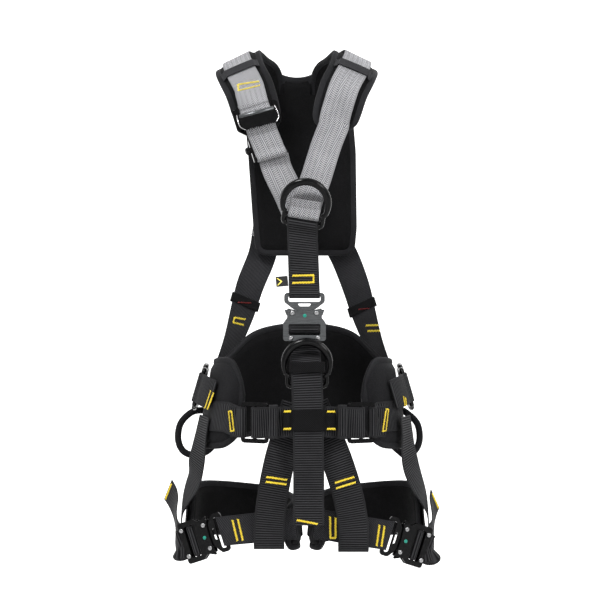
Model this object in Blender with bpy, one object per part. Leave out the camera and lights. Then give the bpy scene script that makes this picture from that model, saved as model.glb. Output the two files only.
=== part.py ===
"""Full-body work harness: padded yoke, waist belt and leg loops joined by sewn webbing,
with five attachment rings, three quick-release buckles and two belt buckles.

Metres, +Z up, wearer facing -Y. The origin is on the yoke pad's inner face, where it lies
against the wearer's back. r and l are the wearer's right (-X) and left (+X).
"""

import math

import bmesh
import bpy
from mathutils import Matrix, Vector

# Webbing, pads and gaps
WEB_WIDTH = 0.045
WEB_THICK = 0.002
GAP = 0.0005
YOKE_THICK = 0.014
SHOULDER_THICK = 0.012
SHOULDER_WIDTH = 0.074
BELT_PAD_THICK = 0.014
LEG_PAD_THICK = 0.012
GEAR_LOOP_RADIUS = 0.0052

# Middles of the yoke and the waist, and the wearer's waist and thighs as ellipses:
# centre y, half width, half depth
YOKE_X = -0.005
WAIST_X = 0.0045
FRONT_X = 0.0115
LEG_X = 0.0075
WAIST = (-0.115, 0.133, 0.098)
THIGH_X = 0.0925
THIGH = (-0.112, 0.0735, 0.088)

# Attachment ring
RING_BAR_RADIUS = 0.0035
RING_TUBE_RADIUS = 0.0056
RING_EYE_RADIUS = 0.033
RING_EYE_HEIGHT = 0.031
RING_HALF_BASE = 0.0282
RING_CROSSBAR_HEIGHT = 0.0140

# Quick-release buckle: plates either side of the tongue and the pawls
PLATE_THICK = 0.002
PLATE_FACE = 0.003
TONGUE_THICK = 0.003
RIVET_RADIUS = 0.0022
RIVET_HEAD_RADIUS = 0.0037
RIVET_CLEARANCE = 0.0003
TOP_RIVET = (0.0175, 0.0175)
LOW_RIVET = (0.0195, -0.0187)
BUCKLE_BAR = (-0.0065, 0.0028)

UP = Vector((0, 0, 1))
FRONT = Vector((0, -1, 0))
SIDES = (("r", -1), ("l", 1))


# ---------------------------------------------------------------- materials and objects
def make_material(name, colour, roughness, metallic=0.0):
    material = bpy.data.materials.new(name)
    material.use_nodes = True
    shader = material.node_tree.nodes["Principled BSDF"]
    shader.inputs["Base Color"].default_value = (*colour, 1)
    shader.inputs["Roughness"].default_value = roughness
    shader.inputs["Metallic"].default_value = metallic
    return material


def clear_scene():
    for old in list(bpy.data.objects):
        bpy.data.objects.remove(old)


def add_object(name, mesh, material, matrix=None):
    """Puts a mesh in the scene as a named node, smooth except at its sharp edges."""
    obj = bpy.data.objects.new(name, mesh)
    bpy.context.scene.collection.objects.link(obj)
    if not mesh.materials:
        mesh.materials.append(material)
    mesh.shade_smooth()
    mesh.set_sharp_from_angle(angle=math.radians(35))
    if matrix is not None:
        obj.matrix_world = matrix
    return obj


def mesh_from(name, verts, faces):
    mesh = bpy.data.meshes.new(name)
    mesh.from_pydata([tuple(v) for v in verts], [], faces)
    work = bmesh.new()
    work.from_mesh(mesh)
    bmesh.ops.recalc_face_normals(work, faces=work.faces)
    work.to_mesh(mesh)
    work.free()
    return mesh


# ---------------------------------------------------------------- curves
def smooth(points, per_span):
    """Catmull-Rom points through the given ones, which may be of any dimension."""
    last = len(points) - 1
    padded = [2 * points[0] - points[1], *points, 2 * points[last] - points[last - 1]]
    made = []
    for i in range(last):
        a, b, c, d = padded[i : i + 4]
        for k in range(per_span):
            t = k / per_span
            made.append(
                0.5 * (2 * b + (c - a) * t + (2 * a - 5 * b + 4 * c - d) * t * t
                       + (3 * b - a - 3 * c + d) * t ** 3)
            )
    made.append(points[last].copy())
    return made


def fillet(corners, steps=3):
    """A closed outline from (x, y, radius) corners, each rounded with an arc."""
    outline = []
    count = len(corners)
    for i, (x, y, radius) in enumerate(corners):
        here = Vector((x, y))
        before = (Vector(corners[i - 1][:2]) - here).normalized()
        after = (Vector(corners[(i + 1) % count][:2]) - here).normalized()
        if radius <= 0:
            outline.append(here)
            continue
        half = before.angle(after) / 2
        reach = radius / math.tan(half)
        start, end = here + before * reach, here + after * reach
        centre = here + (before + after).normalized() * (radius / math.sin(half))
        from_centre, to_centre = start - centre, end - centre
        turn = from_centre.angle_signed(to_centre)
        for k in range(steps + 1):
            spin = Matrix.Rotation(-turn * k / steps, 2)
            outline.append(centre + spin @ from_centre)
    return outline


def mirrored(half):
    """Corners of a symmetric outline from those of its +X half, listed top to bottom."""
    return half + [(-x, y, r) for x, y, r in reversed(half) if abs(x) > 1e-6]


def circle(x, y, radius, sides=12):
    turns = [2 * math.pi * k / sides for k in range(sides)]
    return [Vector((x + radius * math.cos(a), y + radius * math.sin(a))) for a in turns]


def around(body, degrees, z, out=0.0):
    """A point and outward normal on a body ellipse. 0 is the back, 90 the wearer's left."""
    cx, cy, half_x, half_y = body
    angle = math.radians(degrees)
    normal = Vector((math.sin(angle) / half_x, math.cos(angle) / half_y, 0)).normalized()
    point = Vector((cx + half_x * math.sin(angle), cy + half_y * math.cos(angle), z))
    return point + normal * out, normal


# ---------------------------------------------------------------- solids
def swept(sections, closed):
    """Faces joining equal-sized vertex rings in order, capped unless closed."""
    size, count = len(sections[0]), len(sections)
    verts = [v for section in sections for v in section]
    faces = []
    for i in range(count if closed else count - 1):
        j = (i + 1) % count
        for k in range(size):
            m = (k + 1) % size
            faces.append((i * size + k, i * size + m, j * size + m, j * size + k))
    if not closed:
        faces.append(tuple(reversed(range(size))))
        faces.append(tuple(range((count - 1) * size, count * size)))
    return verts, faces


def tangents(points, closed):
    count = len(points)
    made = []
    for i in range(count):
        before = points[i - 1] if closed or i else points[0]
        after = points[(i + 1) % count] if closed or i < count - 1 else points[-1]
        made.append((after - before).normalized())
    return made


def run(stations, per_span=3):
    """Dense (point, outward normal, width) stations through a few given ones."""
    points = smooth([s[0] for s in stations], per_span)
    normals = smooth([s[1] for s in stations], per_span)
    widths = smooth([Vector((s[2] if len(s) > 2 else WEB_WIDTH, 0)) for s in stations], per_span)
    return [(p, n.normalized(), w.x) for p, n, w in zip(points, normals, widths)]


def lifted(stations, out):
    """The same run moved outwards, as webbing lying on a pad."""
    return [(p + n * out, n) for p, n, *_ in stations]


def level_on(stations, out, z):
    """Webbing at one height round a leaning pad."""
    made = []
    for point, normal, _ in stations:
        up = upright(normal)
        made.append((point + normal * out + up * ((z - point.z) / up.z), normal))
    return made


def upright(normal):
    """The direction up a leaning wall that faces along normal."""
    return (UP - normal * normal.z).normalized()


def band(name, stations, material, thick=WEB_THICK, wall=False):
    """Webbing or a strap-shaped pad along dense stations. A wall keeps its edges upright."""
    sections = []
    along_all = tangents([s[0] for s in stations], False)
    for (point, normal, *width), along in zip(stations, along_all):
        half = (width[0] if width else WEB_WIDTH) / 2
        across = upright(normal) if wall else along.cross(normal).normalized()
        out = (normal if wall else across.cross(along).normalized()) * (thick / 2)
        across = across * half
        sections.append([point - across - out, point + across - out,
                         point + across + out, point - across + out])
    return add_object(name, mesh_from(name, *swept(sections, False)), material)


def hook(bar, toward, out, radius=0.0052, tail=0.030, lift=0.00125, sweep=100):
    """Stations of webbing that arrives along toward, turns round a bar and lies back."""
    reach = 1.9 * radius
    made = [(bar - toward * reach + out * lift, out)]
    for k in range(9):
        angle = math.radians(sweep - 2 * sweep * k / 8)
        normal = toward * math.cos(angle) + out * math.sin(angle)
        made.append((bar + normal * radius, normal))
    made.append((bar - toward * reach - out * lift, -out))
    made.append((bar - toward * (reach + tail) - out * lift, -out))
    return made


def loop_band(name, bar_a, bar_b, axis_a, axis_b, material, radius_a=0.0052, radius_b=0.0052,
              width=WEB_WIDTH, bow=0.0):
    """A sewn loop of webbing round two bars: open at the bars, doubled flat between them.

    Each radius runs from the bar's centre to the middle of the webbing, and bow lifts the
    middle of the span."""
    span = bar_b - bar_a
    length, along = span.length, span.normalized()
    half_gap = (WEB_THICK + GAP) / 2
    arc = [math.radians(a) for a in range(-100, 101, 25)]
    flat = [(-radius_a * math.cos(a), -radius_a * math.sin(a)) for a in reversed(arc)]
    middle = [1.9 * radius_a + (length - 1.9 * (radius_a + radius_b)) * k / 4 for k in range(5)]
    flat += [(s, half_gap) for s in middle]
    flat += [(length + radius_b * math.cos(a), radius_b * math.sin(a)) for a in reversed(arc)]
    flat += [(s, -half_gap) for s in reversed(middle)]
    sections = []
    count = len(flat)
    for i, (s, h) in enumerate(flat):
        share = min(max(s / length, 0), 1)
        axis = axis_a.lerp(axis_b, share).normalized()
        side = axis.cross(along).normalized()
        before, after = Vector(flat[i - 1]), Vector(flat[(i + 1) % count])
        way = (after - before).normalized()
        normal = (side * way.x - along * way.y) * (WEB_THICK / 2)
        lift = bow * 4 * share * (1 - share)
        point = bar_a + along * s + side * (h + lift)
        half = axis * (width / 2)
        sections.append([point - half - normal, point + half - normal,
                         point + half + normal, point - half + normal])
    return add_object(name, mesh_from(name, *swept(sections, True)), material)


def tube_mesh(name, points, radii, closed=False, sides=8, side_on=UP):
    """A round bar along points, with a radius at each."""
    sections = []
    for point, radius, along in zip(points, radii, tangents(points, closed)):
        across = along.cross(side_on).normalized()
        other = across.cross(along).normalized()
        turns = [2 * math.pi * (k + 0.5) / sides for k in range(sides)]
        sections.append([point + radius * (across * math.cos(a) + other * math.sin(a))
                         for a in turns])
    return mesh_from(name, *swept(sections, closed))


def plate_mesh(name, outline, holes, low, high):
    """A flat plate in the XY plane, between two heights, with holes."""
    curve = bpy.data.curves.new(name, "CURVE")
    curve.dimensions = "2D"
    curve.fill_mode = "BOTH"
    curve.extrude = (high - low) / 2
    for ring in (outline, *holes):
        spline = curve.splines.new("POLY")
        spline.points.add(len(ring) - 1)
        for point, (x, y) in zip(spline.points, ring):
            point.co = (x, y, 0, 1)
        spline.use_cyclic_u = True
    holder = bpy.data.objects.new(name, curve)
    bpy.context.scene.collection.objects.link(holder)
    bpy.context.view_layer.update()
    graph = bpy.context.evaluated_depsgraph_get()
    mesh = bpy.data.meshes.new_from_object(holder.evaluated_get(graph))
    bpy.data.objects.remove(holder)
    bpy.data.curves.remove(curve)
    mesh.transform(Matrix.Translation((0, 0, (low + high) / 2)))
    work = bmesh.new()
    work.from_mesh(mesh)
    bmesh.ops.remove_doubles(work, verts=work.verts, dist=1e-6)
    bmesh.ops.recalc_face_normals(work, faces=work.faces)
    work.to_mesh(mesh)
    work.free()
    mesh.name = name
    return mesh


def joined(name, meshes):
    """One mesh from several that overlap, by Boolean union."""
    base = bpy.data.objects.new(name, meshes[0])
    bpy.context.scene.collection.objects.link(base)
    helpers = []
    for extra in meshes[1:]:
        helper = bpy.data.objects.new(extra.name, extra)
        bpy.context.scene.collection.objects.link(helper)
        helpers.append(helper)
        union = base.modifiers.new("join", "BOOLEAN")
        union.operation = "UNION"
        union.object = helper
    bpy.context.view_layer.update()
    graph = bpy.context.evaluated_depsgraph_get()
    mesh = bpy.data.meshes.new_from_object(base.evaluated_get(graph))
    for helper in (base, *helpers):
        bpy.data.objects.remove(helper)
    mesh.name = name
    return mesh


def bar_mesh(name, start, end, radius, sides=10):
    start, end = Vector(start), Vector(end)
    side_on = UP if abs((end - start).normalized().z) < 0.9 else FRONT
    return tube_mesh(name, [start, end], [radius, radius], sides=sides, side_on=side_on)


# ---------------------------------------------------------------- attachment rings
def ring_mesh():
    """A forged ring standing in the XZ plane on its lower bar, which lies along X at 0."""
    start = math.radians(-22)
    sweep = math.radians(224)
    arc = [start + sweep * k / 16 for k in range(17)]
    eye = [Vector((RING_EYE_RADIUS * math.cos(a), 0,
                   RING_EYE_HEIGHT + RING_EYE_RADIUS * math.sin(a))) for a in arc]
    base = RING_HALF_BASE
    corner = 0.005
    left = [Vector((-base, 0, 0.018)), Vector((-base, 0, corner)),
            Vector((-base + 0.3 * corner, 0, 0.3 * corner)), Vector((-base + corner, 0, 0))]
    right = [Vector((-p.x, 0, p.z)) for p in reversed(left)]
    points = eye + left + [Vector((0, 0, 0))] + right
    radii = [RING_BAR_RADIUS + (RING_TUBE_RADIUS - RING_BAR_RADIUS)
             * min(max((p.z - 0.016) / 0.030, 0), 1) for p in points]
    frame = tube_mesh("ring", points, radii, closed=True, side_on=FRONT)
    crossbar = bar_mesh("crossbar", (-base, 0, RING_CROSSBAR_HEIGHT),
                        (base, 0, RING_CROSSBAR_HEIGHT), 0.0026, sides=8)
    return joined("ring", [frame, crossbar])


def ring_matrix(centre, bar_axis, eye_direction):
    """Places a ring: its bar's middle, the bar's direction, and where its eye points."""
    x = bar_axis.normalized()
    y = eye_direction.cross(x).normalized()
    z = x.cross(y)
    turn = Matrix((x, y, z)).transposed().to_4x4()
    return Matrix.Translation(centre) @ turn


# ---------------------------------------------------------------- quick-release buckle
# Drawn in its own XY plane, Y towards the tongue's webbing, Z towards the viewer.
def buckle_plate_outline():
    half = [(0, 0.0213, 0), (0.015, 0.0222, 0), (0.0245, 0.0245, 0.0015), (0.0262, 0.0190, 0.003),
            (0.0250, 0.0110, 0.003), (0.0310, 0.0030, 0.004), (0.0310, -0.0230, 0.004)]
    return fillet(mirrored(half))


def buckle_window():
    half = [(0.0232, 0.0017, 0.002), (0.0232, -0.0145, 0.002)]
    return fillet(mirrored(half), 2)


def buckle_front_mesh():
    hole = RIVET_RADIUS + RIVET_CLEARANCE
    holes = [circle(side * x, y, hole) for x, y in (TOP_RIVET, LOW_RIVET) for side in (-1, 1)]
    return plate_mesh("buckle_front", buckle_plate_outline(), [buckle_window(), *holes],
                      PLATE_FACE, PLATE_FACE + PLATE_THICK)


def buckle_back_mesh():
    """The back plate with its four rivets and the bar that the webbing turns round."""
    outer = PLATE_FACE + PLATE_THICK
    pieces = [plate_mesh("buckle_back", buckle_plate_outline(), [buckle_window()],
                         -outer, -PLATE_FACE)]
    for x, y in (TOP_RIVET, LOW_RIVET):
        for side in (-1, 1):
            levels = [-outer - 0.0012, -outer - 0.0008, -outer + 0.0005, -outer + 0.0006,
                      outer + 0.0003, outer + 0.00031, outer + 0.0010, outer + 0.0015]
            radii = [0.6 * RIVET_HEAD_RADIUS, RIVET_HEAD_RADIUS, RIVET_HEAD_RADIUS, RIVET_RADIUS,
                     RIVET_RADIUS, RIVET_HEAD_RADIUS, 0.9 * RIVET_HEAD_RADIUS,
                     0.5 * RIVET_HEAD_RADIUS]
            centres = [Vector((side * x, y, z)) for z in levels]
            pieces.append(tube_mesh("rivet", centres, radii, sides=12, side_on=FRONT))
    height, radius = BUCKLE_BAR
    pieces.append(bar_mesh("bar", (-0.0268, height, 0), (0.0268, height, 0), radius))
    for side in (-1, 1):
        post = [Vector((side * 0.0268 + dx, height + dy))
                for dx, dy in ((-0.002, -0.004), (0.002, -0.004), (0.002, 0.004), (-0.002, 0.004))]
        pieces.append(plate_mesh("post", post, [], -outer + 0.0008, radius - 0.0003))
    return joined("buckle_back", pieces)


def tongue_mesh():
    half = [(0, 0.0470, 0), (0.0295, 0.0470, 0.005), (0.0295, 0.0335, 0.005), (0.0200, 0.0258, 0.002),
            (0.0150, 0.0225, 0.002), (0.0095, 0.0175, 0.001), (0.0095, 0.0088, 0), (0.0128, 0.0066, 0),
            (0.0128, 0.0040, 0.001)]
    slot = fillet(mirrored([(0.0234, 0.0416, 0.0015), (0.0234, 0.0338, 0.0030)]), 2)
    crescent = fillet(mirrored([(0.0100, 0.0312, 0.0008), (0.0070, 0.0272, 0.002)]), 2)
    return plate_mesh("tongue", fillet(mirrored(half)), [slot, crescent],
                      -TONGUE_THICK / 2, TONGUE_THICK / 2)


def pawl_mesh(side):
    """A release lever: a hook that holds the tongue's head, and an ear to press.

    The hook's lower edge follows a circle about the pivot, so that it swings clear."""
    px, py = TOP_RIVET
    reach = 0.0105
    edge = [math.radians(a) for a in (238, 232, 226)]
    hook = [(px + reach * math.cos(a), py + reach * math.sin(a), 0) for a in edge]
    corners = [(0.0100, 0.0130, 0), (0.0125, 0.0200, 0.001), (0.0185, 0.0225, 0.002),
               (0.0295, 0.0224, 0.0006), (0.0262, 0.0142, 0.001), (0.0215, 0.0125, 0.002),
               (0.0170, 0.0100, 0.001)]
    corners = corners + hook
    outline = [Vector((side * p.x, p.y)) for p in fillet(corners, 2)]
    hole = circle(side * px, py, RIVET_RADIUS + RIVET_CLEARANCE)
    return plate_mesh("pawl", outline, [hole], -TONGUE_THICK / 2, TONGUE_THICK / 2)


def facing(origin, right, out):
    """A matrix with X to the right, Z out towards the viewer and Y up between them."""
    x, z = right.normalized(), out.normalized()
    y = z.cross(x).normalized()
    x = y.cross(z)
    return Matrix.Translation(origin) @ Matrix((x, y, z)).transposed().to_4x4()


def buckle_wrap(matrix, rear, front):
    """Webbing that comes up behind the buckle, over its bar and out behind again.

    rear and front are the stations before and after."""
    section = [(-0.0285, -0.0100), (-0.0141, -0.0100), (-0.0076, -0.0090), (-0.0036, -0.0040),
               (-0.0020, 0.0000), (-0.0033, 0.0032), (-0.0065, 0.0045), (-0.0097, 0.0032),
               (-0.0112, 0.0000), (-0.0116, -0.0035), (-0.0121, -0.0055), (-0.0148, -0.0073),
               (-0.0285, -0.0073)]
    turn = matrix.to_3x3()
    made = []
    for i, (y, z) in enumerate(section):
        before = Vector(section[max(i - 1, 0)])
        after = Vector(section[min(i + 1, len(section) - 1)])
        way = (after - before).normalized()
        made.append((matrix @ Vector((0, y, z)), turn @ Vector((0, way.y, -way.x))))
    return rear + made + front


def turned(stations):
    return [(p, -n) for p, n, *_ in stations]


def plain(stations):
    return [(p, n) for p, n, *_ in stations]


# ---------------------------------------------------------------- yoke
def build_yoke(pad):
    outline = fillet([(YOKE_X - 0.086, 0.150, 0.004), (YOKE_X - 0.0195, 0.150, 0),
                      (YOKE_X - 0.0195, 0.182, 0.003), (YOKE_X, 0.179, 0.060),
                      (YOKE_X + 0.0195, 0.182, 0.003), (YOKE_X + 0.0195, 0.150, 0),
                      (YOKE_X + 0.086, 0.150, 0.004),
                      (0.0885, 0.060, 0.200), (0.090, -0.060, 0.100), (0.086, -0.104, 0.020),
                      (-0.070, -0.104, 0.020), (-0.074, -0.060, 0.100), (-0.0825, 0.060, 0.200)])
    plate = plate_mesh("back_pad", outline, [], -YOKE_THICK, 0)
    plate.transform(Matrix.Rotation(math.pi / 2, 4, "X"))
    add_object("back_pad", plate, pad)

    runs = {}
    for side, way in SIDES:
        def at(x, y, z):
            return Vector((YOKE_X + way * x, y, z))

        def face(x, y, z):
            return Vector((way * x, y, z)).normalized()

        middle = YOKE_THICK - SHOULDER_THICK / 2
        path = run([(at(0.0535, middle, 0.1525), face(0, 1, 0), 0.067),
                    (at(0.0540, middle - 0.001, 0.1660), face(0.03, 0.97, 0.2), 0.068),
                    (at(0.0600, -0.006, 0.1790), face(0.13, 0.76, 0.63), 0.070),
                    (at(0.0740, -0.038, 0.1865), face(0.33, 0.25, 0.91), 0.071),
                    (at(0.0845, -0.071, 0.1905), face(0.38, 0.02, 0.92), 0.074),
                    (at(0.0890, -0.100, 0.1870), face(0.44, -0.30, 0.84), 0.077),
                    (at(0.0830, -0.135, 0.1670), face(0.30, -0.65, 0.70), SHOULDER_WIDTH),
                    (at(0.0700, -0.160, 0.1390), face(0.12, -0.88, 0.46), SHOULDER_WIDTH),
                    (at(0.0580, -0.180, 0.0980), face(0, -0.97, 0.25), 0.070),
                    (at(0.0550, -0.1855, 0.0820), face(0, -0.99, 0.12), 0.054),
                    (at(0.0540, -0.1865, 0.0750), face(0, -0.99, 0.12), 0.034)])
        band(f"shoulder_pad_{side}", path, pad, thick=SHOULDER_THICK)
        over = 0.0010 if side == "r" else 0.0010 + GAP + WEB_THICK
        on_pad = lifted(path, SHOULDER_THICK / 2 + over + WEB_THICK / 2)

        # Webbing down the back: the right strap crosses under the left one
        back = Vector((0, 1, 0))
        level = YOKE_THICK + over + WEB_THICK / 2
        behind = run([(Vector((YOKE_X - way * 0.054, level, -0.082)), back),
                      (Vector((YOKE_X - way * 0.030, level, -0.045)), back),
                      (Vector((YOKE_X, level, 0.001)), back),
                      (Vector((YOKE_X + way * 0.028, level, 0.062)), back),
                      (Vector((YOKE_X + way * 0.041, level, 0.112)), back), on_pad[0]], 3)
        runs[side] = plain(behind[:-1]) + on_pad
    return runs


def adjuster_mesh():
    """A strap adjuster: side walls, a roller for the upper webbing and a bar for the loop."""
    half = [(0.0300, 0.0230, 0.003), (0.0345, 0.0200, 0.003), (0.0345, -0.0100, 0.006),
            (0.0240, -0.0200, 0.003), (0.0150, -0.0182, 0.001)]
    slots = [fillet(mirrored([(0.0238, 0.0190, 0.001), (0.0238, 0.0100, 0.001)]), 1),
             fillet(mirrored([(0.0238, 0.0030, 0.001), (0.0238, -0.0100, 0.001)]), 1)]
    pieces = [plate_mesh("body", fillet(mirrored(half)), slots, -0.0012, 0.0012)]
    pieces.append(bar_mesh("roller", (-0.0255, 0.0065, 0), (0.0255, 0.0065, 0), 0.0040))
    pieces.append(bar_mesh("low_bar", (-0.0255, -0.0135, 0), (0.0255, -0.0135, 0), 0.0030))
    for x in (-0.0288, 0.0288):
        wall = fillet([(x - 0.0018, 0.0215, 0), (x + 0.0018, 0.0215, 0),
                       (x + 0.0018, -0.0120, 0), (x - 0.0018, -0.0120, 0)])
        pieces.append(plate_mesh("wall", wall, [], -0.0030, 0.0056))
    return joined("shoulder_adjuster", pieces)


def strap_pin_mesh():
    """The lower rod, with a plate up its outer side that carries a knob."""
    rise = 0.0150
    pieces = [bar_mesh("rod", (-0.0260, 0, 0), (0.0245, 0, 0), 0.0028)]
    side = fillet([(-0.0040, 0.0300, 0.002), (0.0040, 0.0300, 0.002),
                   (0.0040, -0.0040, 0.003), (-0.0040, -0.0040, 0.003)])
    plate = plate_mesh("side", side, [], -0.0273, -0.0251)
    plate.transform(Matrix(((0, 0, 1, 0), (0, 1, 0, 0), (1, 0, 0, 0), (0, 0, 0, 1))))
    plate.flip_normals()
    pieces.append(plate)
    knob = [Vector((x, rise, 0)) for x in (-0.0355, -0.0340, -0.0305, -0.0277, -0.0262)]
    pieces.append(tube_mesh("knob", knob, [0.0028, 0.0052, 0.0060, 0.0045, 0.0030], sides=12))
    return joined("strap_pin", pieces)


def build_shoulder_fronts(runs, grey, metal, ring):
    # The wearer's left strap goes straight to the chest ring and turns round its crossbar
    crossbar = ring @ Vector((0, 0, RING_CROSSBAR_HEIGHT))
    down = -(ring.to_3x3() @ UP)
    out = -(ring.to_3x3() @ Vector((0, 1, 0)))
    free = [(Vector((0.0375, -0.2055, 0.050)), Vector((0, -0.96, 0.28))),
            (Vector((0.0227, -0.2240, 0.0018)), Vector((0, -0.94, 0.34))),
            (Vector((0.0125, -0.2345, -0.0245)), Vector((0, -0.94, 0.34)))]
    end = hook(crossbar, down, out, radius=0.0046, tail=0.014)
    left = runs["l"][:-3]
    between = run([left[-1], *free, end[1]], 3)[1:-1]
    band("shoulder_strap_l", left + plain(between) + end[1:], grey)

    # The wearer's right strap: over the pad, an adjuster, a short loop, then to the ring
    adjuster = facing(Vector((-0.0620, -0.1978, 0.0920)), Vector((0.955, 0, 0.297)),
                      Vector((0.05, -0.97, 0.26)))
    add_object("shoulder_adjuster", adjuster_mesh(), metal, adjuster)
    turn = adjuster.to_3x3()
    roller = adjuster @ Vector((0, 0.0065, 0))
    end = hook(roller, turn @ Vector((0, -1, 0)), turn @ UP, radius=0.0056, tail=0.012,
               lift=0.0034)
    right = runs["r"][:-9]
    over_rail = (adjuster @ Vector((0, 0.0275, 0.0036)), turn @ UP)
    lead = run([right[-1], over_rail, end[0]], 3)[1:-1]
    band("shoulder_strap_r", right + plain(lead) + end, grey)

    axis = turn @ Vector((1, 0, 0))
    low_bar = adjuster @ Vector((0, -0.0135, 0))
    rod = adjuster @ Vector((0.0035, -0.0585, -0.0012))
    add_object("strap_pin", strap_pin_mesh(), metal, Matrix.Translation(rod) @ turn.to_4x4())
    loop_band("shoulder_loop", low_bar, rod, axis, axis, grey, radius_a=0.0048, radius_b=0.0046)
    way = [(rod + Vector((0.0018, 0.0094, 0.0030)), Vector((0.05, -0.97, 0.26))),
           (Vector((-0.0330, -0.2070, 0.0160)), Vector((0.1, -0.96, 0.26))),
           (Vector((-0.0180, -0.2165, -0.0150)), Vector((0.05, -0.96, 0.26))),
           (Vector((-0.0100, -0.2235, -0.0330)), Vector((0, -0.98, 0.2))),
           (Vector((-0.0055, -0.2265, -0.0430)), Vector((0, -0.98, 0.2)))]
    band("chest_strap_r", run(way), grey)


def build_dorsal(black, plastic, metal):
    """Unseen side: a plate over the crossing, and a ring on its own sewn loop."""
    right = Vector((-1, 0, 0))
    plate_back = YOKE_THICK + 2 * (GAP + WEB_THICK) + GAP
    half = [(0.030, 0.036, 0.008), (0.046, 0.012, 0.010), (0.046, -0.030, 0.010),
            (0.030, -0.046, 0.010)]
    plate = plate_mesh("dorsal_plate", fillet(mirrored(half)), [], 0, 0.003)
    add_object("dorsal_plate", plate, plastic,
               facing(Vector((YOKE_X, plate_back, 0.001)), right, Vector((0, 1, 0))))
    level = plate_back + 0.003 + 1.5 * GAP + WEB_THICK
    bar = Vector((YOKE_X, level + 0.0015, 0.0480))
    low = Vector((YOKE_X, level, -0.0300))
    loop_band("dorsal_loop", bar, low, right, right, black, radius_b=0.00125)
    add_object("dorsal_ring", ring_mesh(), metal, ring_matrix(bar, right, Vector((0, 0.10, 0.995))))


# ---------------------------------------------------------------- chest and belly
def build_centre(black, label, steel, dark, chest_ring, parts):
    add_object("chest_ring", ring_mesh(), dark, chest_ring)
    centre = facing(Vector((0.0065, -0.2350, -0.2104)), Vector((1, 0, 0)), FRONT)
    for piece, mesh in parts.items():
        add_object(f"centre_{piece}", mesh.copy(), steel, centre)
    turn = chest_ring.to_3x3()
    slack = chest_ring @ Vector((0, 0.0024, -0.0004))
    loop_band("chest_strap", slack, centre @ Vector((0, 0.0443, 0)), turn @ Vector((1, 0, 0)),
              Vector((1, 0, 0)), black, radius_a=0.0073, radius_b=0.0046)
    tag = fillet([(-0.0088, 0.0072, 0), (0.0088, 0.0072, 0), (0.0088, -0.0072, 0),
                  (-0.0088, -0.0072, 0)])
    add_object("chest_label", plate_mesh("chest_label", tag, [], -0.0006, 0.0006), label,
               facing(Vector((-0.0270, -0.2355, -0.1480)), Vector((0.99, 0, 0.12)), FRONT))

    # Belly ring, its sewn loop, and the webbing that runs over the buckle's bar
    bar = Vector((0.010, -0.246, -0.2985))
    across = Vector((1, 0, 0))
    add_object("belly_ring", ring_mesh(), dark, ring_matrix(bar, across, Vector((0, -0.03, 1))))
    loop_band("belly_loop", bar, Vector((0.0115, -0.2460, -0.3640)), across, across, black,
              radius_b=0.00125)
    rear = run([(Vector((0.0115, -0.2405, -0.3600)), FRONT),
                (Vector((0.0112, -0.2400, -0.3300)), FRONT),
                (Vector((0.0100, -0.2350, -0.2950)), FRONT),
                (Vector((0.0075, -0.2265, -0.2550)), FRONT),
                (Vector((0.0066, -0.2250, -0.2400)), FRONT)], 2)
    tail = run([(Vector((0.0066, -0.2277, -0.2400)), FRONT),
                (Vector((0.0070, -0.2335, -0.2500)), FRONT),
                (Vector((0.0080, -0.2480, -0.2640)), FRONT),
                (Vector((0.0095, -0.2575, -0.2820)), FRONT),
                (Vector((0.0108, -0.2568, -0.3080)), FRONT),
                (Vector((0.0115, -0.2550, -0.3400)), FRONT),
                (Vector((0.0120, -0.2546, -0.3750)), FRONT),
                (Vector((0.0125, -0.2500, -0.4300)), FRONT),
                (Vector((0.0125, -0.2490, -0.4995)), FRONT)], 2)
    band("belly_strap", buckle_wrap(centre, turned(rear), plain(tail)), black)


# ---------------------------------------------------------------- waist
def belt_buckle_mesh(name):
    frame = fillet([(-0.0230, 0.0300, 0.006), (0.0230, 0.0300, 0.006),
                    (0.0230, -0.0300, 0.006), (-0.0230, -0.0300, 0.006)])
    holes = []
    for low, high in ((-0.0180, -0.0020), (0.0020, 0.0180)):
        holes.append(fillet([(low, 0.0237, 0.001), (high, 0.0237, 0.001),
                             (high, -0.0237, 0.001), (low, -0.0237, 0.001)], 1))
    pieces = [plate_mesh("frame", frame, holes, -0.0016, 0.0016),
              bar_mesh("middle", (0, -0.0245, 0), (0, 0.0245, 0), 0.0030)]
    return joined(name, pieces)


def roll_mesh(name, centre, way, low, high):
    """Spare webbing rolled up about a vertical line."""
    spiral = []
    for k in range(37):
        angle = math.radians(20 * k)
        radius = 0.0030 + 0.0026 * angle / (2 * math.pi)
        spiral.append(centre + Vector((way * radius * math.sin(angle),
                                       radius * math.cos(angle), 0)))
    sections = []
    for point, along in zip(spiral, tangents(spiral, False)):
        across = Vector((along.y, -along.x, 0)) * (WEB_THICK / 2)
        sections.append([point - across + low * UP, point + across + low * UP,
                         point + across + high * UP, point - across + high * UP])
    return mesh_from(name, *swept(sections, False))


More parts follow.
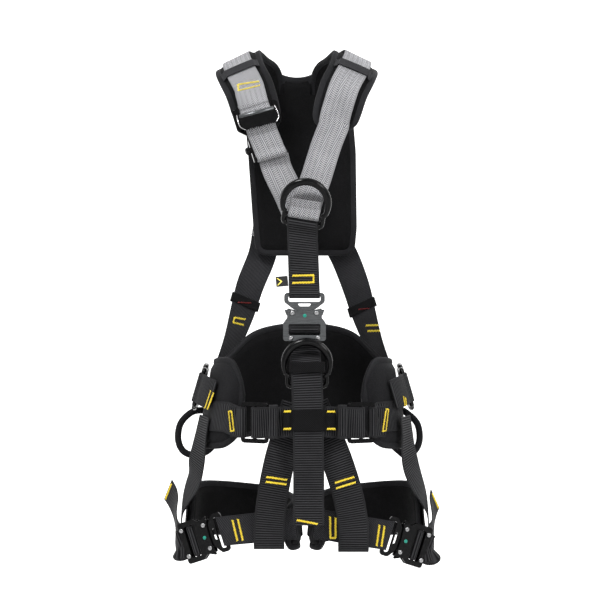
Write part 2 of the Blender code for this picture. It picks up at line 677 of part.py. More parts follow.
def build_belt(pad, black, dark):
    waist = (WAIST_X, *WAIST)
    shape = [(-141, -0.3370, 0.050), (-136, -0.3320, 0.096), (-127, -0.3270, 0.132),
             (-111, -0.3280, 0.138), (-90, -0.3300, 0.136), (-66, -0.3280, 0.132),
             (-51, -0.3170, 0.146), (-38, -0.3070, 0.166), (-22, -0.2995, 0.173),
             (0, -0.2965, 0.177)]
    shape += [(-a, z, w) for a, z, w in reversed(shape[:-1])]
    stations = []
    for degrees, z, width in shape:
        point, normal = around(waist, degrees, z, BELT_PAD_THICK / 2)
        stations.append((point, (normal + 0.14 * UP).normalized(), width))
    path = run(stations, 4)
    band("belt_pad", path, pad, thick=BELT_PAD_THICK, wall=True)

    ends = {}
    front = {}
    for side, way in SIDES:
        centre = Vector((FRONT_X + way * 0.0775, -0.2250, -0.3525))
        place = facing(centre, Vector((0.866, way * 0.50, 0)), Vector((way * 0.50, -0.866, 0)))
        name = f"belt_buckle_{side}"
        add_object(name, belt_buckle_mesh(name), dark, place)
        turn = place.to_3x3()
        out, outward = turn @ UP, turn @ Vector((way, 0, 0))
        bar = place @ Vector((way * 0.0205, 0, 0))
        ends[side] = hook(bar, -outward, out, radius=0.0044, tail=0.014)
        front[side] = hook(centre, outward, out, radius=0.0046, tail=0.013, lift=0.0053)

    # Webbing round the waist, sewn to each buckle's outer bar
    middle = level_on(path, BELT_PAD_THICK / 2 + GAP + WEB_THICK / 2, -0.3475)[7:-7]
    first = run([ends["r"][0], middle[0]], 3)[1:-1]
    last = run([middle[-1], ends["l"][0]], 3)[1:-1]
    around_waist = list(reversed(ends["r"])) + plain(first) + middle + plain(last) + ends["l"]
    band("belt_webbing", around_waist, black)

    # Front webbing over each buckle's middle bar, its spare end rolled up
    crossing = [(Vector((FRONT_X - 0.0270, -0.2500, -0.3500)), FRONT),
                (Vector((FRONT_X, -0.2502, -0.3490)), FRONT),
                (Vector((FRONT_X + 0.0270, -0.2500, -0.3500)), FRONT)]
    inner = run([front["r"][0], *crossing, front["l"][0]], 3)[1:-1]
    band("belt_front", list(reversed(front["r"])) + plain(inner) + front["l"], black)
    for side, way in SIDES:
        name = f"belt_roll_{side}"
        centre = Vector((FRONT_X + way * 0.0500, -0.2565, 0))
        add_object(name, roll_mesh(name, centre, way, -0.3740, -0.3250), black)


def build_hips(black, dark, tube):
    for side, way in SIDES:
        def at(x, y, z):
            return Vector((WAIST_X + way * x, y, z))

        def face(x, y, z):
            return Vector((way * x, y, z)).normalized()

        bar = at(0.1570, -0.120, -0.3065)
        axis = face(-0.28, 0, 0.96) * way
        add_object(f"side_ring_{side}", ring_mesh(), dark, ring_matrix(bar, axis, face(0, 1, 0.03)))
        loop_band(f"side_loop_{side}", bar, at(0.1350, -0.1700, -0.3150), axis, axis, black,
                  radius_b=0.00125, bow=0.004)

        # From behind the yoke to the hip
        level = YOKE_THICK + 3 * GAP + 2.5 * WEB_THICK + 0.0006
        yoke = [(Vector((YOKE_X + way * 0.0470, level, -0.0560)), Vector((0, 1, 0))),
                (at(0.0645, level, -0.1020), face(0.1, 0.99, 0)),
                (at(0.0830, 0.0060, -0.1500), face(0.3, 0.95, 0)),
                (at(0.0960, -0.0070, -0.1950), face(0.55, 0.83, 0)),
                (at(0.1120, -0.0330, -0.2450), face(0.8, 0.6, 0.1)),
                (at(0.1280, -0.0550, -0.2900), face(0.82, 0.54, 0.2)),
                (at(0.1365, -0.0640, -0.3160), face(0.82, 0.54, 0.2))]
        band(f"yoke_strap_{side}", run(yoke), black)

        reach = 0.1925 if side == "r" else 0.1800
        loop = [at(0.1340, -0.0430, -0.3520), at(0.1480, -0.0470, -0.3460),
                at(reach - 0.022, -0.0560, -0.3470), at(reach - 0.004, -0.0630, -0.3640),
                at(reach, -0.0660, -0.3880), at(reach - 0.007, -0.0660, -0.4060),
                at(reach - 0.022, -0.0640, -0.4130), at(0.1500, -0.0570, -0.4090),
                at(0.1380, -0.0500, -0.3980)]
        path = smooth(loop, 3)
        mesh = tube_mesh(f"gear_loop_{side}", path, [GEAR_LOOP_RADIUS] * len(path),
                         side_on=Vector((0, 1, 0)))
        add_object(f"gear_loop_{side}", mesh, tube)


# ---------------------------------------------------------------- legs
def build_legs(pad, black, dark, parts):
    for side, way in SIDES:
        thigh = (LEG_X + way * THIGH_X, *THIGH)

        def at(x, y, z):
            return Vector((LEG_X + way * x, y, z))

        def face(x, y, z):
            return Vector((way * x, y, z)).normalized()

        # Angles run from the back of the thigh, positive towards its outside
        shape = [(-128, -0.5150, 0.050), (-118, -0.5140, 0.068), (-90, -0.5120, 0.078),
                 (-60, -0.5095, 0.082), (-30, -0.5060, 0.085), (0, -0.5030, 0.086),
                 (30, -0.4985, 0.086), (60, -0.4945, 0.084), (85, -0.4945, 0.074),
                 (98, -0.4970, 0.048)]
        stations = []
        for degrees, z, width in shape:
            point, normal = around(thigh, way * degrees, z, LEG_PAD_THICK / 2)
            stations.append((point, (normal + Vector((0, 0, 0.08))).normalized(), width))
        path = run(stations, 3)
        band(f"leg_pad_{side}", path, pad, thick=LEG_PAD_THICK, wall=True)

        # Buckle on the front of the thigh, its tongue towards the middle
        yaw, tilt = math.radians(20), math.radians(19)
        out = face(math.sin(yaw), -math.cos(yaw), 0)
        flat = face(-math.cos(yaw), -math.sin(yaw), 0)
        up_axis = flat * math.cos(tilt) + UP * math.sin(tilt)
        centre = at(0.1590, -0.1800, -0.5320 - way * 0.0030)
        place = facing(centre, up_axis.cross(out), out)
        for piece, mesh in parts.items():
            add_object(f"leg_{side}_{piece}", mesh.copy(), dark, place)
        axis = place.to_3x3() @ Vector((1, 0, 0))
        loop_band(f"leg_front_{side}", place @ Vector((0, 0.0443, 0)),
                  at(0.0150, -0.1900, -0.5030), axis, Vector((0, 0, way)), black,
                  radius_a=0.0052, radius_b=0.00125, width=0.0440, bow=0.008)

        # Webbing round the back of the thigh to the buckle's bar, and its loose tail
        inner = run([(at(0.0265, -0.1889, -0.5060), face(0, -1, 0)),
                     (at(0.0155, -0.1852, -0.5060), face(-0.35, -0.93, 0)),
                     (at(0.0070, -0.1720, -0.5080), face(-0.88, -0.48, 0)),
                     level_on(path, 0.0085, -0.5090)[4]], 3)
        back = level_on(path, LEG_PAD_THICK / 2 + GAP + WEB_THICK / 2, -0.5090)[4:-1]
        end = buckle_wrap(place, [], [])
        outer = run([back[-1], (at(0.1845, -0.1330, -0.5330), face(0.97, -0.24, 0.1)),
                     (place @ Vector((0, -0.0380, -0.0125)), out), (end[0][0], out)], 3)
        if side == "r":
            loose = [(at(0.1935, -0.1300, -0.5230), face(1, -0.05, 0.1)),
                     (at(0.1955, -0.1130, -0.5060), face(1, -0.05, 0.05)),
                     (at(0.1975, -0.0990, -0.4900), face(0.95, -0.28, 0)),
                     (at(0.2025, -0.0880, -0.4760), face(0.86, -0.50, -0.1)),
                     (at(0.2100, -0.0790, -0.4650), face(0.78, -0.60, -0.18))]
        else:
            loose = [(at(0.1925, -0.1310, -0.5250), face(1, -0.05, 0.1)),
                     (at(0.1940, -0.1160, -0.5130), face(1, -0.08, 0.05)),
                     (at(0.1945, -0.1030, -0.5010), face(0.97, -0.22, 0)),
                     (at(0.1960, -0.0920, -0.4890), face(0.88, -0.45, -0.1)),
                     (at(0.1995, -0.0830, -0.4790), face(0.78, -0.60, -0.18))]
        tail = run([(at(0.1880, -0.1480, -0.5325), face(0.96, -0.26, 0.1)), *loose], 2)
        whole = plain(inner[:-1]) + back + plain(outer[1:-1])
        band(f"leg_back_{side}", buckle_wrap(place, turned(whole), plain(tail)), black)

        # Front and side straps up to the belt
        spread = 0.003 if side == "r" else 0.021
        front = []
        for x, y, z, nx, ny, nz in ((0.0120, -0.2370, -0.3250, 0, -1, 0),
                                    (0.0220, -0.2335, -0.3600, 0, -1, 0),
                                    (0.0350, -0.2340, -0.4050, 0, -1, 0),
                                    (0.0450, -0.2240, -0.4600, 0, -1, 0.1),
                                    (0.0495, -0.2130, -0.5050, 0, -1, 0),
                                    (0.0500, -0.2095, -0.5300, 0, -0.9, -0.4),
                                    (0.0500, -0.2000, -0.5395, 0, -0.1, -1),
                                    (0.0500, -0.1903, -0.5330, 0, 0.9, -0.4),
                                    (0.0500, -0.1892, -0.5080, 0, 1, 0)):
            share = min((-0.325 - z) / 0.16, 1)
            level = 0.0 if side == "r" or z < -0.37 else 0.0031
            drop = 0.004 if side == "l" and z < -0.52 else 0.0
            front.append((at(x + spread * share, y + level, z - drop),
                          Vector((nx, ny, nz)).normalized()))
        band(f"leg_strap_{side}", run(front, 3), black)
        clear = 0.0045 if side == "r" else 0.0
        hip = [(at(0.1502, -0.1504, -0.3480), face(0.93, -0.36, 0.05)),
               (at(0.1530 + clear / 2, -0.1504, -0.3740), face(0.91, -0.40, 0.10)),
               (at(0.1545 + clear, -0.1480, -0.3980), face(0.85, -0.50, 0.12)),
               (at(0.1590 + clear, -0.1430, -0.4220), face(0.78, -0.60, 0.20)),
               (at(0.1675, -0.1320, -0.4450), face(0.80, -0.55, 0.25)),
               (at(0.1785, -0.1185, -0.4680), face(0.90, -0.30, 0.20)),
               (at(0.1860, -0.1080, -0.4920), face(0.99, -0.10, 0.1)),
               (at(0.1890, -0.1050, -0.5280), face(1, -0.05, 0.1))]
        band(f"side_strap_{side}", run(hip), black)


def main():
    clear_scene()
    pad = make_material("padding", (0.022, 0.022, 0.024), 0.90)
    grey = make_material("grey_webbing", (0.42, 0.42, 0.43), 0.75)
    black = make_material("black_webbing", (0.030, 0.030, 0.033), 0.80)
    plastic = make_material("plastic", (0.020, 0.020, 0.021), 0.50)
    label = make_material("label", (0.060, 0.060, 0.062), 0.70)
    steel = make_material("steel", (0.42, 0.42, 0.43), 0.30, 1.0)
    dark = make_material("dark_steel", (0.035, 0.035, 0.038), 0.30, 1.0)
    tube = make_material("tube", (0.018, 0.018, 0.019), 0.45)

    chest_ring = ring_matrix(Vector((0.0031, -0.2350, -0.0648)), Vector((0.988, 0, -0.156)),
                             Vector((0.151, -0.25, 0.956)))
    parts = {"front": buckle_front_mesh(), "back": buckle_back_mesh(), "tongue": tongue_mesh(),
             "pawl_a": pawl_mesh(-1), "pawl_b": pawl_mesh(1)}
    runs = build_yoke(pad)
    build_shoulder_fronts(runs, grey, dark, chest_ring)
    build_dorsal(black, plastic, dark)
    build_centre(black, label, steel, dark, chest_ring, parts)
    build_belt(pad, black, dark)
    build_hips(black, dark, tube)
    build_legs(pad, black, dark, parts)


main()
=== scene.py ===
"""Looks for the full-body work harness: webbing, pads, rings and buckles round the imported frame.

Metres, +Z up, wearer facing -Y. r and l are the wearer's right (-X) and left (+X).
"""

import math
import random

import bmesh
import bpy
import mathutils
import numpy as np
from mathutils import Matrix, Vector
from mathutils.bvhtree import BVHTree


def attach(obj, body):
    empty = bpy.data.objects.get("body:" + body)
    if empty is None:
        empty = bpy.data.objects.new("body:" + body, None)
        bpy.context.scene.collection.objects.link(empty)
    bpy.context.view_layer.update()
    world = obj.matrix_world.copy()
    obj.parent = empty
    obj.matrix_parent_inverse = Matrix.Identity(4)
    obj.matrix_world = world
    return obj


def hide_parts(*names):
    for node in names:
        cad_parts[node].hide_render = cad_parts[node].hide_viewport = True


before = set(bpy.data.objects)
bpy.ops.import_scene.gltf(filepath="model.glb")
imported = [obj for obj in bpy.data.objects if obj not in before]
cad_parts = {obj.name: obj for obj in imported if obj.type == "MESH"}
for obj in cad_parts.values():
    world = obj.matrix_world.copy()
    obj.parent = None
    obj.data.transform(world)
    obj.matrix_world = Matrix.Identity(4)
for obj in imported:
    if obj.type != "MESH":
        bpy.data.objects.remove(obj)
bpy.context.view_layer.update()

WEB_WIDTH = 0.045
WEB_THICK = 0.002
GAP = 0.0005
# From the middle between two layers of webbing that lie together to the middle of each
DOUBLED = (WEB_THICK + GAP) / 2
YOKE_THICK = 0.014
SHOULDER_THICK = 0.012
SHOULDER_WIDTH = 0.074
BELT_PAD_THICK = 0.014
LEG_PAD_THICK = 0.012
GEAR_LOOP_RADIUS = 0.0052

# Middles of the yoke and the waist, and the wearer's waist and thighs as ellipses:
# centre y, half width, half depth
YOKE_X = -0.005
WAIST_X = 0.0045
FRONT_X = 0.0115
LEG_X = 0.0075
WAIST = (-0.115, 0.133, 0.098)
THIGH_X = 0.0925
THIGH = (-0.112, 0.0735, 0.088)

# Attachment ring
RING_BAR_RADIUS = 0.0035
RING_TUBE_RADIUS = 0.0056
RING_EYE_RADIUS = 0.033
RING_EYE_HEIGHT = 0.031
RING_HALF_BASE = 0.0282
RING_CROSSBAR_HEIGHT = 0.0140

UP = Vector((0, 0, 1))
FRONT = Vector((0, -1, 0))
SIDES = (("r", -1), ("l", 1))

# Webbing's ribs, the steps along tape without ribs, and the width of stitched bars
RIB_PITCH = 0.0035
PLAIN_STEP = 0.0025
STITCH_WIDTH = 0.0032

# Binding round the pads, and the rows of points beside an edge, by their distance from it
BOUND = 0.0090
EDGE_STEPS = [0, 0.0003, 0.0009, 0.0018, 0.0030, 0.0055, 0.0076, 0.0085, 0.0090, 0.0095,
              0.0104, 0.0125, 0.0150, 0.0175, 0.0200]

# The eye looks along +Y; it sees VIEW_WIDTH across at VIEW_DISTANCE
EYE = (0, -2.9, -0.174)
SENSOR = 36
VIEW_DISTANCE = 2.7
VIEW_WIDTH = 0.882


# ---------------------------------------------------------------- camera, floor and light
def build_stage():
    scene = bpy.context.scene
    camera = bpy.data.cameras.new("camera")
    camera.sensor_width = SENSOR
    camera.lens = SENSOR * VIEW_DISTANCE / VIEW_WIDTH
    holder = bpy.data.objects.new("camera", camera)
    scene.collection.objects.link(holder)
    holder.location = EYE
    holder.rotation_euler = (math.pi / 2, 0, 0)
    scene.camera = holder

    # A pale round floor that curves up into a wall, brighter behind than in front
    floor, reach, bend, top, sides = -0.72, 4.0, 1.0, 6.0, 96
    profile = [(1.5, floor), (reach, floor)]
    profile += [(reach + bend * math.sin(a), floor + bend - bend * math.cos(a))
                for a in (math.pi / 2 * k / 12 for k in range(1, 13))]
    profile.append((reach + bend, top))
    turns = [2 * math.pi * k / sides for k in range(sides)]
    rings = np.array([[(r * math.cos(a), r * math.sin(a), z) for a in turns]
                      for r, z in profile])
    backdrop = bpy.data.objects.new("backdrop", grid_mesh("backdrop", rings))
    scene.collection.objects.link(backdrop)
    g = Graph("paper")
    place = g.tree.nodes.new("ShaderNodeTexCoord").outputs["Object"]
    split = g.tree.nodes.new("ShaderNodeSeparateXYZ")
    g.tree.links.new(place, split.inputs[0])
    glow = g.between(split.outputs[1], -1.2, 1.6, 0.02, 1.0)
    g.set(Base_Color=(0.5, 0.5, 0.5, 1), Roughness=0.9, Specular_IOR_Level=0.0,
          Emission_Color=(1, 1, 1, 1), Emission_Strength=glow)
    backdrop.data.materials.append(g.material)

    world = bpy.data.worlds.new("studio")
    scene.world = world
    world.use_nodes = True
    world.node_tree.nodes["Background"].inputs["Color"].default_value = (1, 1, 1, 1)
    world.node_tree.nodes["Background"].inputs["Strength"].default_value = 0.30
    for name, place, aim, size, power in (
            ("key", (-1.1, -1.9, 2.6), (0, -0.1, -0.15), 0.8, 92),
            ("fill", (1.9, -2.0, 1.5), (0, -0.1, -0.3), 0.9, 40),
            ("low", (0.2, -2.4, -0.62), (0, -0.1, -0.3), 0.8, 3),
            ("back", (0.6, 2.0, 1.6), (0, 0, -0.2), 1.4, 26)):
        lamp = bpy.data.lights.new(name, "AREA")
        lamp.size = size
        lamp.energy = power
        light = bpy.data.objects.new(name, lamp)
        light.location = place
        aimed = Vector(aim) - Vector(place)
        light.rotation_euler = aimed.to_track_quat("-Z", "Y").to_euler()
        scene.collection.objects.link(light)
    scene.view_settings.view_transform = "Standard"


# ---------------------------------------------------------------- materials
class Graph:
    """A Principled material and short ways to add nodes to it."""

    def __init__(self, name):
        self.material = bpy.data.materials.new(name)
        self.material.use_nodes = True
        self.tree = self.material.node_tree
        self.shader = self.tree.nodes["Principled BSDF"]

    def link(self, value, socket):
        if isinstance(value, bpy.types.NodeSocket):
            self.tree.links.new(value, socket)
        else:
            socket.default_value = value

    def set(self, **values):
        for name, value in values.items():
            self.link(value, self.shader.inputs[name.replace("_", " ")])

    def math(self, operation, *values):
        node = self.tree.nodes.new("ShaderNodeMath")
        node.operation = operation
        for value, socket in zip(values, node.inputs):
            self.link(value, socket)
        return node.outputs[0]

    def wave(self, value, pitch):
        """0 to 1 and back over each pitch."""
        swing = self.math("SINE", self.math("MULTIPLY", value, 2 * math.pi / pitch))
        return self.math("MULTIPLY_ADD", swing, 0.5, 0.5)

    def between(self, value, low, high, to_low=0.0, to_high=1.0):
        node = self.tree.nodes.new("ShaderNodeMapRange")
        node.clamp = True
        for socket, number in zip(node.inputs, (value, low, high, to_low, to_high)):
            self.link(number, socket)
        return node.outputs[0]

    def mix(self, share, a, b):
        node = self.tree.nodes.new("ShaderNodeMix")
        node.data_type = "RGBA"
        self.link(share, node.inputs["Factor"])
        for value, key in ((a, 6), (b, 7)):
            if isinstance(value, tuple):
                value = (*value, 1)
            self.link(value, node.inputs[key])
        return node.outputs[2]

    def noise(self, scale, detail, stretch=None):
        place = self.tree.nodes.new("ShaderNodeTexCoord").outputs["Object"]
        if stretch:
            mapping = self.tree.nodes.new("ShaderNodeMapping")
            mapping.inputs["Scale"].default_value = stretch
            self.tree.links.new(place, mapping.inputs["Vector"])
            place = mapping.outputs["Vector"]
        node = self.tree.nodes.new("ShaderNodeTexNoise")
        node.inputs["Scale"].default_value = scale
        node.inputs["Detail"].default_value = detail
        self.tree.links.new(place, node.inputs["Vector"])
        return node.outputs["Fac"]

    def cells(self, scale):
        place = self.tree.nodes.new("ShaderNodeTexCoord").outputs["Object"]
        node = self.tree.nodes.new("ShaderNodeTexVoronoi")
        node.inputs["Scale"].default_value = scale
        self.tree.links.new(place, node.inputs["Vector"])
        return node.outputs["Distance"]

    def uv(self):
        node = self.tree.nodes.new("ShaderNodeUVMap")
        node.uv_map = "UVMap"
        split = self.tree.nodes.new("ShaderNodeSeparateXYZ")
        self.tree.links.new(node.outputs["UV"], split.inputs[0])
        return split.outputs[0], split.outputs[1]

    def bump(self, height, distance, strength):
        node = self.tree.nodes.new("ShaderNodeBump")
        node.inputs["Strength"].default_value = strength
        node.inputs["Distance"].default_value = distance
        self.link(height, node.inputs["Height"])
        self.tree.links.new(node.outputs["Normal"], self.shader.inputs["Normal"])


def webbing_material(name, dark, light, weave, depth=0.00025):
    """Woven tape. UV is (across, along) in metres, across measured from the middle."""
    g = Graph(name)
    across, along = g.uv()
    yarn = g.wave(across, 0.0013)
    if weave == "rib":
        pattern = g.wave(along, RIB_PITCH)
        pattern = g.math("MULTIPLY", pattern, g.math("MULTIPLY_ADD", yarn, 0.35, 0.65))
    elif weave == "twill":
        slanted = g.math("MULTIPLY_ADD", across, 0.9, along)
        pattern = g.wave(slanted, 0.0027)
        pattern = g.math("MULTIPLY", pattern, g.math("MULTIPLY_ADD", yarn, 0.25, 0.75))
    else:
        folded = g.math("PINGPONG", across, 0.0076)
        slanted = g.math("MULTIPLY_ADD", folded, 1.15, along)
        pattern = g.wave(slanted, 0.0036)
        ridge = g.between(g.math("ABSOLUTE", g.math("SUBTRACT", folded, 0.0038)), 0.0, 0.0038)
        pattern = g.math("MULTIPLY", pattern, g.math("MULTIPLY_ADD", ridge, -0.25, 1.0))
    edge = g.between(g.math("ABSOLUTE", across), 0.0190, 0.0200)
    selvedge = g.math("MULTIPLY", g.wave(along, 0.0014), g.wave(across, 0.0017))
    height = g.math("ADD", g.math("MULTIPLY", pattern, g.math("SUBTRACT", 1.0, edge)),
                    g.math("MULTIPLY", g.math("MULTIPLY_ADD", selvedge, 0.5, 0.25), edge))
    cloudy = g.between(g.noise(26.0, 4.0), 0.3, 0.7, 0.82, 1.12)
    fuzz = g.between(g.noise(1400.0, 2.0), 0.3, 0.7, -0.12, 0.12)
    # Colour follows the weave's height: the woven pattern, with raised ribs and yarns painted lighter
    # and hollows painted darker as painted highlight and shade.
    tone = g.math("MULTIPLY", g.math("ADD", height, fuzz), cloudy)
    g.set(Base_Color=g.mix(tone, dark, light), Roughness=g.between(height, 0, 1, 0.86, 0.62),
          Sheen_Weight=0.015, Sheen_Roughness=0.45, Specular_IOR_Level=0.09)
    g.bump(g.math("ADD", height, g.math("MULTIPLY", fuzz, 0.4)), depth, 0.9)
    return g.material


def cloth_material(name, dark, light, scale=900.0, depth=0.00018, sheen=0.02):
    """Close-woven cloth over foam."""
    g = Graph(name)
    cell = g.cells(scale)
    cloudy = g.noise(14.0, 4.0)
    fine_noise = g.noise(420.0, 3.0)
    tone = g.math("MULTIPLY_ADD", g.between(cell, 0.0, 0.75), 0.55,
                  g.between(cloudy, 0.3, 0.7, 0.0, 0.5))
    g.set(Base_Color=g.mix(tone, dark, light), Sheen_Weight=sheen, Sheen_Roughness=0.5,
          Roughness=g.between(fine_noise, 0.3, 0.7, 0.72, 0.92), Specular_IOR_Level=0.05)
    g.bump(g.math("ADD", cell, g.math("MULTIPLY", fine_noise, 0.8)), depth, 0.8)
    return g.material


def metal_material(name, dark, light, roughness, metallic, coat=0.0):
    g = Graph(name)
    streak = g.noise(60.0, 5.0, (1.0, 1.0, 14.0))
    speck = g.noise(900.0, 2.0)
    worn = g.between(g.noise(38.0, 6.0), 0.56, 0.72)
    g.set(Base_Color=g.mix(streak, dark, light), Metallic=metallic,
          Roughness=g.math("ADD", g.between(streak, 0.3, 0.7, roughness * 0.8, roughness * 1.25),
                           g.math("MULTIPLY", worn, 0.10)),
          Specular_IOR_Level=0.16, Coat_Weight=coat, Coat_Roughness=0.08)
    g.bump(g.math("ADD", streak, g.math("MULTIPLY", speck, 0.5)), 0.00004, 0.5)
    return g.material


def plain_material(name, dark, light, roughness, painted_glow=0.0):
    g = Graph(name)
    tone = g.between(g.noise(700.0, 2.0), 0.3, 0.7)
    g.set(Base_Color=g.mix(tone, dark, light),
          Roughness=g.between(g.noise(150.0, 3.0), 0.3, 0.7, roughness * 0.85, roughness * 1.15))
    # A glow here is painted light: it makes the thread brighter than the lamps alone would.
    if painted_glow:
        g.set(Emission_Color=(*light, 1), Emission_Strength=painted_glow)
    g.bump(tone, 0.0001, 0.5)
    return g.material


# ---------------------------------------------------------------- curves
def spline(a, b, c, d, t):
    """The Catmull-Rom curve between b and c."""
    return 0.5 * (2 * b + (c - a) * t + (2 * a - 5 * b + 4 * c - d) * t * t
                  + (3 * b - a - 3 * c + d) * t ** 3)


def smooth(points, per_span):
    """Catmull-Rom points through the given ones, which may be of any dimension."""
    padded = [2 * points[0] - points[1], *points, 2 * points[-1] - points[-2]]
    made = [spline(*padded[i : i + 4], k / per_span)
            for i in range(len(points) - 1) for k in range(per_span)]
    return made + [points[-1].copy()]


def fillet(corners, steps):
    """A closed outline from (x, y, radius) corners, each rounded with an arc."""
    outline = []
    count = len(corners)
    for i, (x, y, radius) in enumerate(corners):
        here = Vector((x, y))
        before = (Vector(corners[i - 1][:2]) - here).normalized()
        after = (Vector(corners[(i + 1) % count][:2]) - here).normalized()
        if radius <= 0:
            outline.append(here)
            continue
        half = before.angle(after) / 2
        reach = radius / math.tan(half)
        start, end = here + before * reach, here + after * reach
        centre = here + (before + after).normalized() * (radius / math.sin(half))
        from_centre, to_centre = start - centre, end - centre
        turn = from_centre.angle_signed(to_centre)
        for k in range(steps + 1):
            spin = Matrix.Rotation(-turn * k / steps, 2)
            outline.append(centre + spin @ from_centre)
    return outline


def mirrored(half):
    """Corners of a symmetric outline from those of its +X half, listed top to bottom."""
    return half + [(-x, y, r) for x, y, r in reversed(half) if abs(x) > 1e-6]


def around(body, degrees, z, out):
    """A point and outward normal on a body ellipse. 0 is the back, 90 the wearer's left."""
    cx, cy, half_x, half_y = body
    angle = math.radians(degrees)
    normal = Vector((math.sin(angle) / half_x, math.cos(angle) / half_y, 0)).normalized()
    point = Vector((cx + half_x * math.sin(angle), cy + half_y * math.cos(angle), z))
    return point + normal * out, normal


def tangents(points, closed):
    count = len(points)
    made = []
    for i in range(count):
        before = points[i - 1] if closed or i else points[0]
        after = points[(i + 1) % count] if closed or i < count - 1 else points[-1]
        made.append((after - before).normalized())
    return made


def run(stations, per_span=3):
    """Dense (point, outward normal, width) stations through a few given ones."""
    points = smooth([s[0] for s in stations], per_span)
    normals = smooth([s[1] for s in stations], per_span)
    widths = smooth([Vector((s[2] if len(s) > 2 else WEB_WIDTH, 0)) for s in stations], per_span)
    return [(p, n.normalized(), w.x) for p, n, w in zip(points, normals, widths)]


def lifted(stations, out):
    """The same run moved outwards, as webbing lying on a pad."""
    return [(p + n * out, n) for p, n, *_ in stations]


def level_on(stations, out, z):
    """Webbing at one height round a leaning pad."""
    made = []
    for point, normal, _ in stations:
        up = upright(normal)
        made.append((point + normal * out + up * ((z - point.z) / up.z), normal))
    return made


def upright(normal):
    """The direction up a leaning wall that faces along normal."""
    return (UP - normal * normal.z).normalized()


def hook(bar, toward, out, radius, tail, lift=DOUBLED):
    """Stations of webbing that arrives along toward, turns round a bar and lies back."""
    reach, sweep = 1.9 * radius, 100
    made = [(bar - toward * reach + out * lift, out)]
    for k in range(9):
        angle = math.radians(sweep - 2 * sweep * k / 8)
        normal = toward * math.cos(angle) + out * math.sin(angle)
        made.append((bar + normal * radius, normal))
    made.append((bar - toward * reach - out * lift, -out))
    made.append((bar - toward * (reach + tail) - out * lift, -out))
    return made


def ring_matrix(centre, bar_axis, eye_direction):
    """Places a ring: its bar's middle, the bar's direction, and where its eye points."""
    x = bar_axis.normalized()
    y = eye_direction.cross(x).normalized()
    z = x.cross(y)
    turn = Matrix((x, y, z)).transposed().to_4x4()
    return Matrix.Translation(centre) @ turn


def facing(origin, right, out):
    """A matrix with X to the right, Z out towards the viewer and Y up between them."""
    x, z = right.normalized(), out.normalized()
    y = z.cross(x).normalized()
    x = y.cross(z)
    return Matrix.Translation(origin) @ Matrix((x, y, z)).transposed().to_4x4()


def buckle_wrap(matrix, rear, front):
    """Webbing that comes up behind the buckle, over its bar and out behind again.

    rear and front are the stations before and after."""
    section = [(-0.0285, -0.0100), (-0.0141, -0.0100), (-0.0076, -0.0090), (-0.0036, -0.0040),
               (-0.0020, 0.0000), (-0.0033, 0.0032), (-0.0065, 0.0045), (-0.0097, 0.0032),
               (-0.0112, 0.0000), (-0.0116, -0.0035), (-0.0121, -0.0055), (-0.0148, -0.0073),
               (-0.0285, -0.0073)]
    turn = matrix.to_3x3()
    made = []
    for i, (y, z) in enumerate(section):
        before = Vector(section[max(i - 1, 0)])
        after = Vector(section[min(i + 1, len(section) - 1)])
        way = (after - before).normalized()
        made.append((matrix @ Vector((0, y, z)), turn @ Vector((0, way.y, -way.x))))
    return rear + made + front


def turned(stations):
    return [(p, -n) for p, n, *_ in stations]


def plain(stations):
    return [(p, n) for p, n, *_ in stations]


def placed(rows, x=0.0, way=1):
    """Stations from rows of x, y, z, outward normal and width, mirrored about x where way is -1."""
    return [(Vector((x + way * r[0], r[1], r[2])), Vector((way * r[3], r[4], r[5])).normalized(),
             *r[6:]) for r in rows]


def ahead_of(rows):
    """Stations that face the harness's front, from rows of x, y, z."""
    return [(Vector(row), FRONT) for row in rows]


# ---------------------------------------------------------------- pieces
TREES = {}
RUNS = {}


def add_piece(name, mesh, materials, replaces=(), body="harness", matrix=None):
    """A shown piece that rides on a body and may stand for CAD nodes."""
    for material in materials:
        mesh.materials.append(material)
    piece = bpy.data.objects.new(name, mesh)
    bpy.context.scene.collection.objects.link(piece)
    if matrix is not None:
        piece.matrix_world = matrix
    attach(piece, body)
    if replaces:
        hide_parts(*replaces)
    return piece


def grid_mesh(name, rings, uvs=None, closed=False, picks=None):
    """A mesh from equal rings of points, an array of (ring, point, 3), capped unless closed.

    uvs are (ring, point, 2), with one more ring and point than rings has, and picks is a
    material index for each (ring, point) face."""
    count, size = rings.shape[:2]
    mesh = bpy.data.meshes.new(name)
    spans = count if closed else count - 1
    i = np.repeat(np.arange(spans), size)
    k = np.tile(np.arange(size), spans)
    j = (i + 1) % count
    m = (k + 1) % size
    quads = np.stack([i * size + k, i * size + m, j * size + m, j * size + k], axis=1)
    faces = quads.tolist()
    if not closed:
        faces.append(list(reversed(range(size))))
        faces.append(list(range((count - 1) * size, count * size)))
    mesh.from_pydata(rings.reshape(-1, 3).tolist(), [], faces)
    mesh.polygons.foreach_set("use_smooth", [True] * len(faces))
    if picks is not None:
        caps = [] if closed else [0, 0]
        mesh.polygons.foreach_set("material_index", list(picks.reshape(-1)) + caps)
    if uvs is not None:
        layer = mesh.uv_layers.new(name="UVMap")
        flat = np.stack([uvs[i, k], uvs[i, k + 1], uvs[i + 1, k + 1], uvs[i + 1, k]], axis=1)
        flat = flat.reshape(-1)
        if not closed:
            caps = np.concatenate([uvs[0, :size][::-1], uvs[count - 1, :size]]).reshape(-1)
            flat = np.concatenate([flat, caps])
        layer.data.foreach_set("uv", flat)
    return mesh


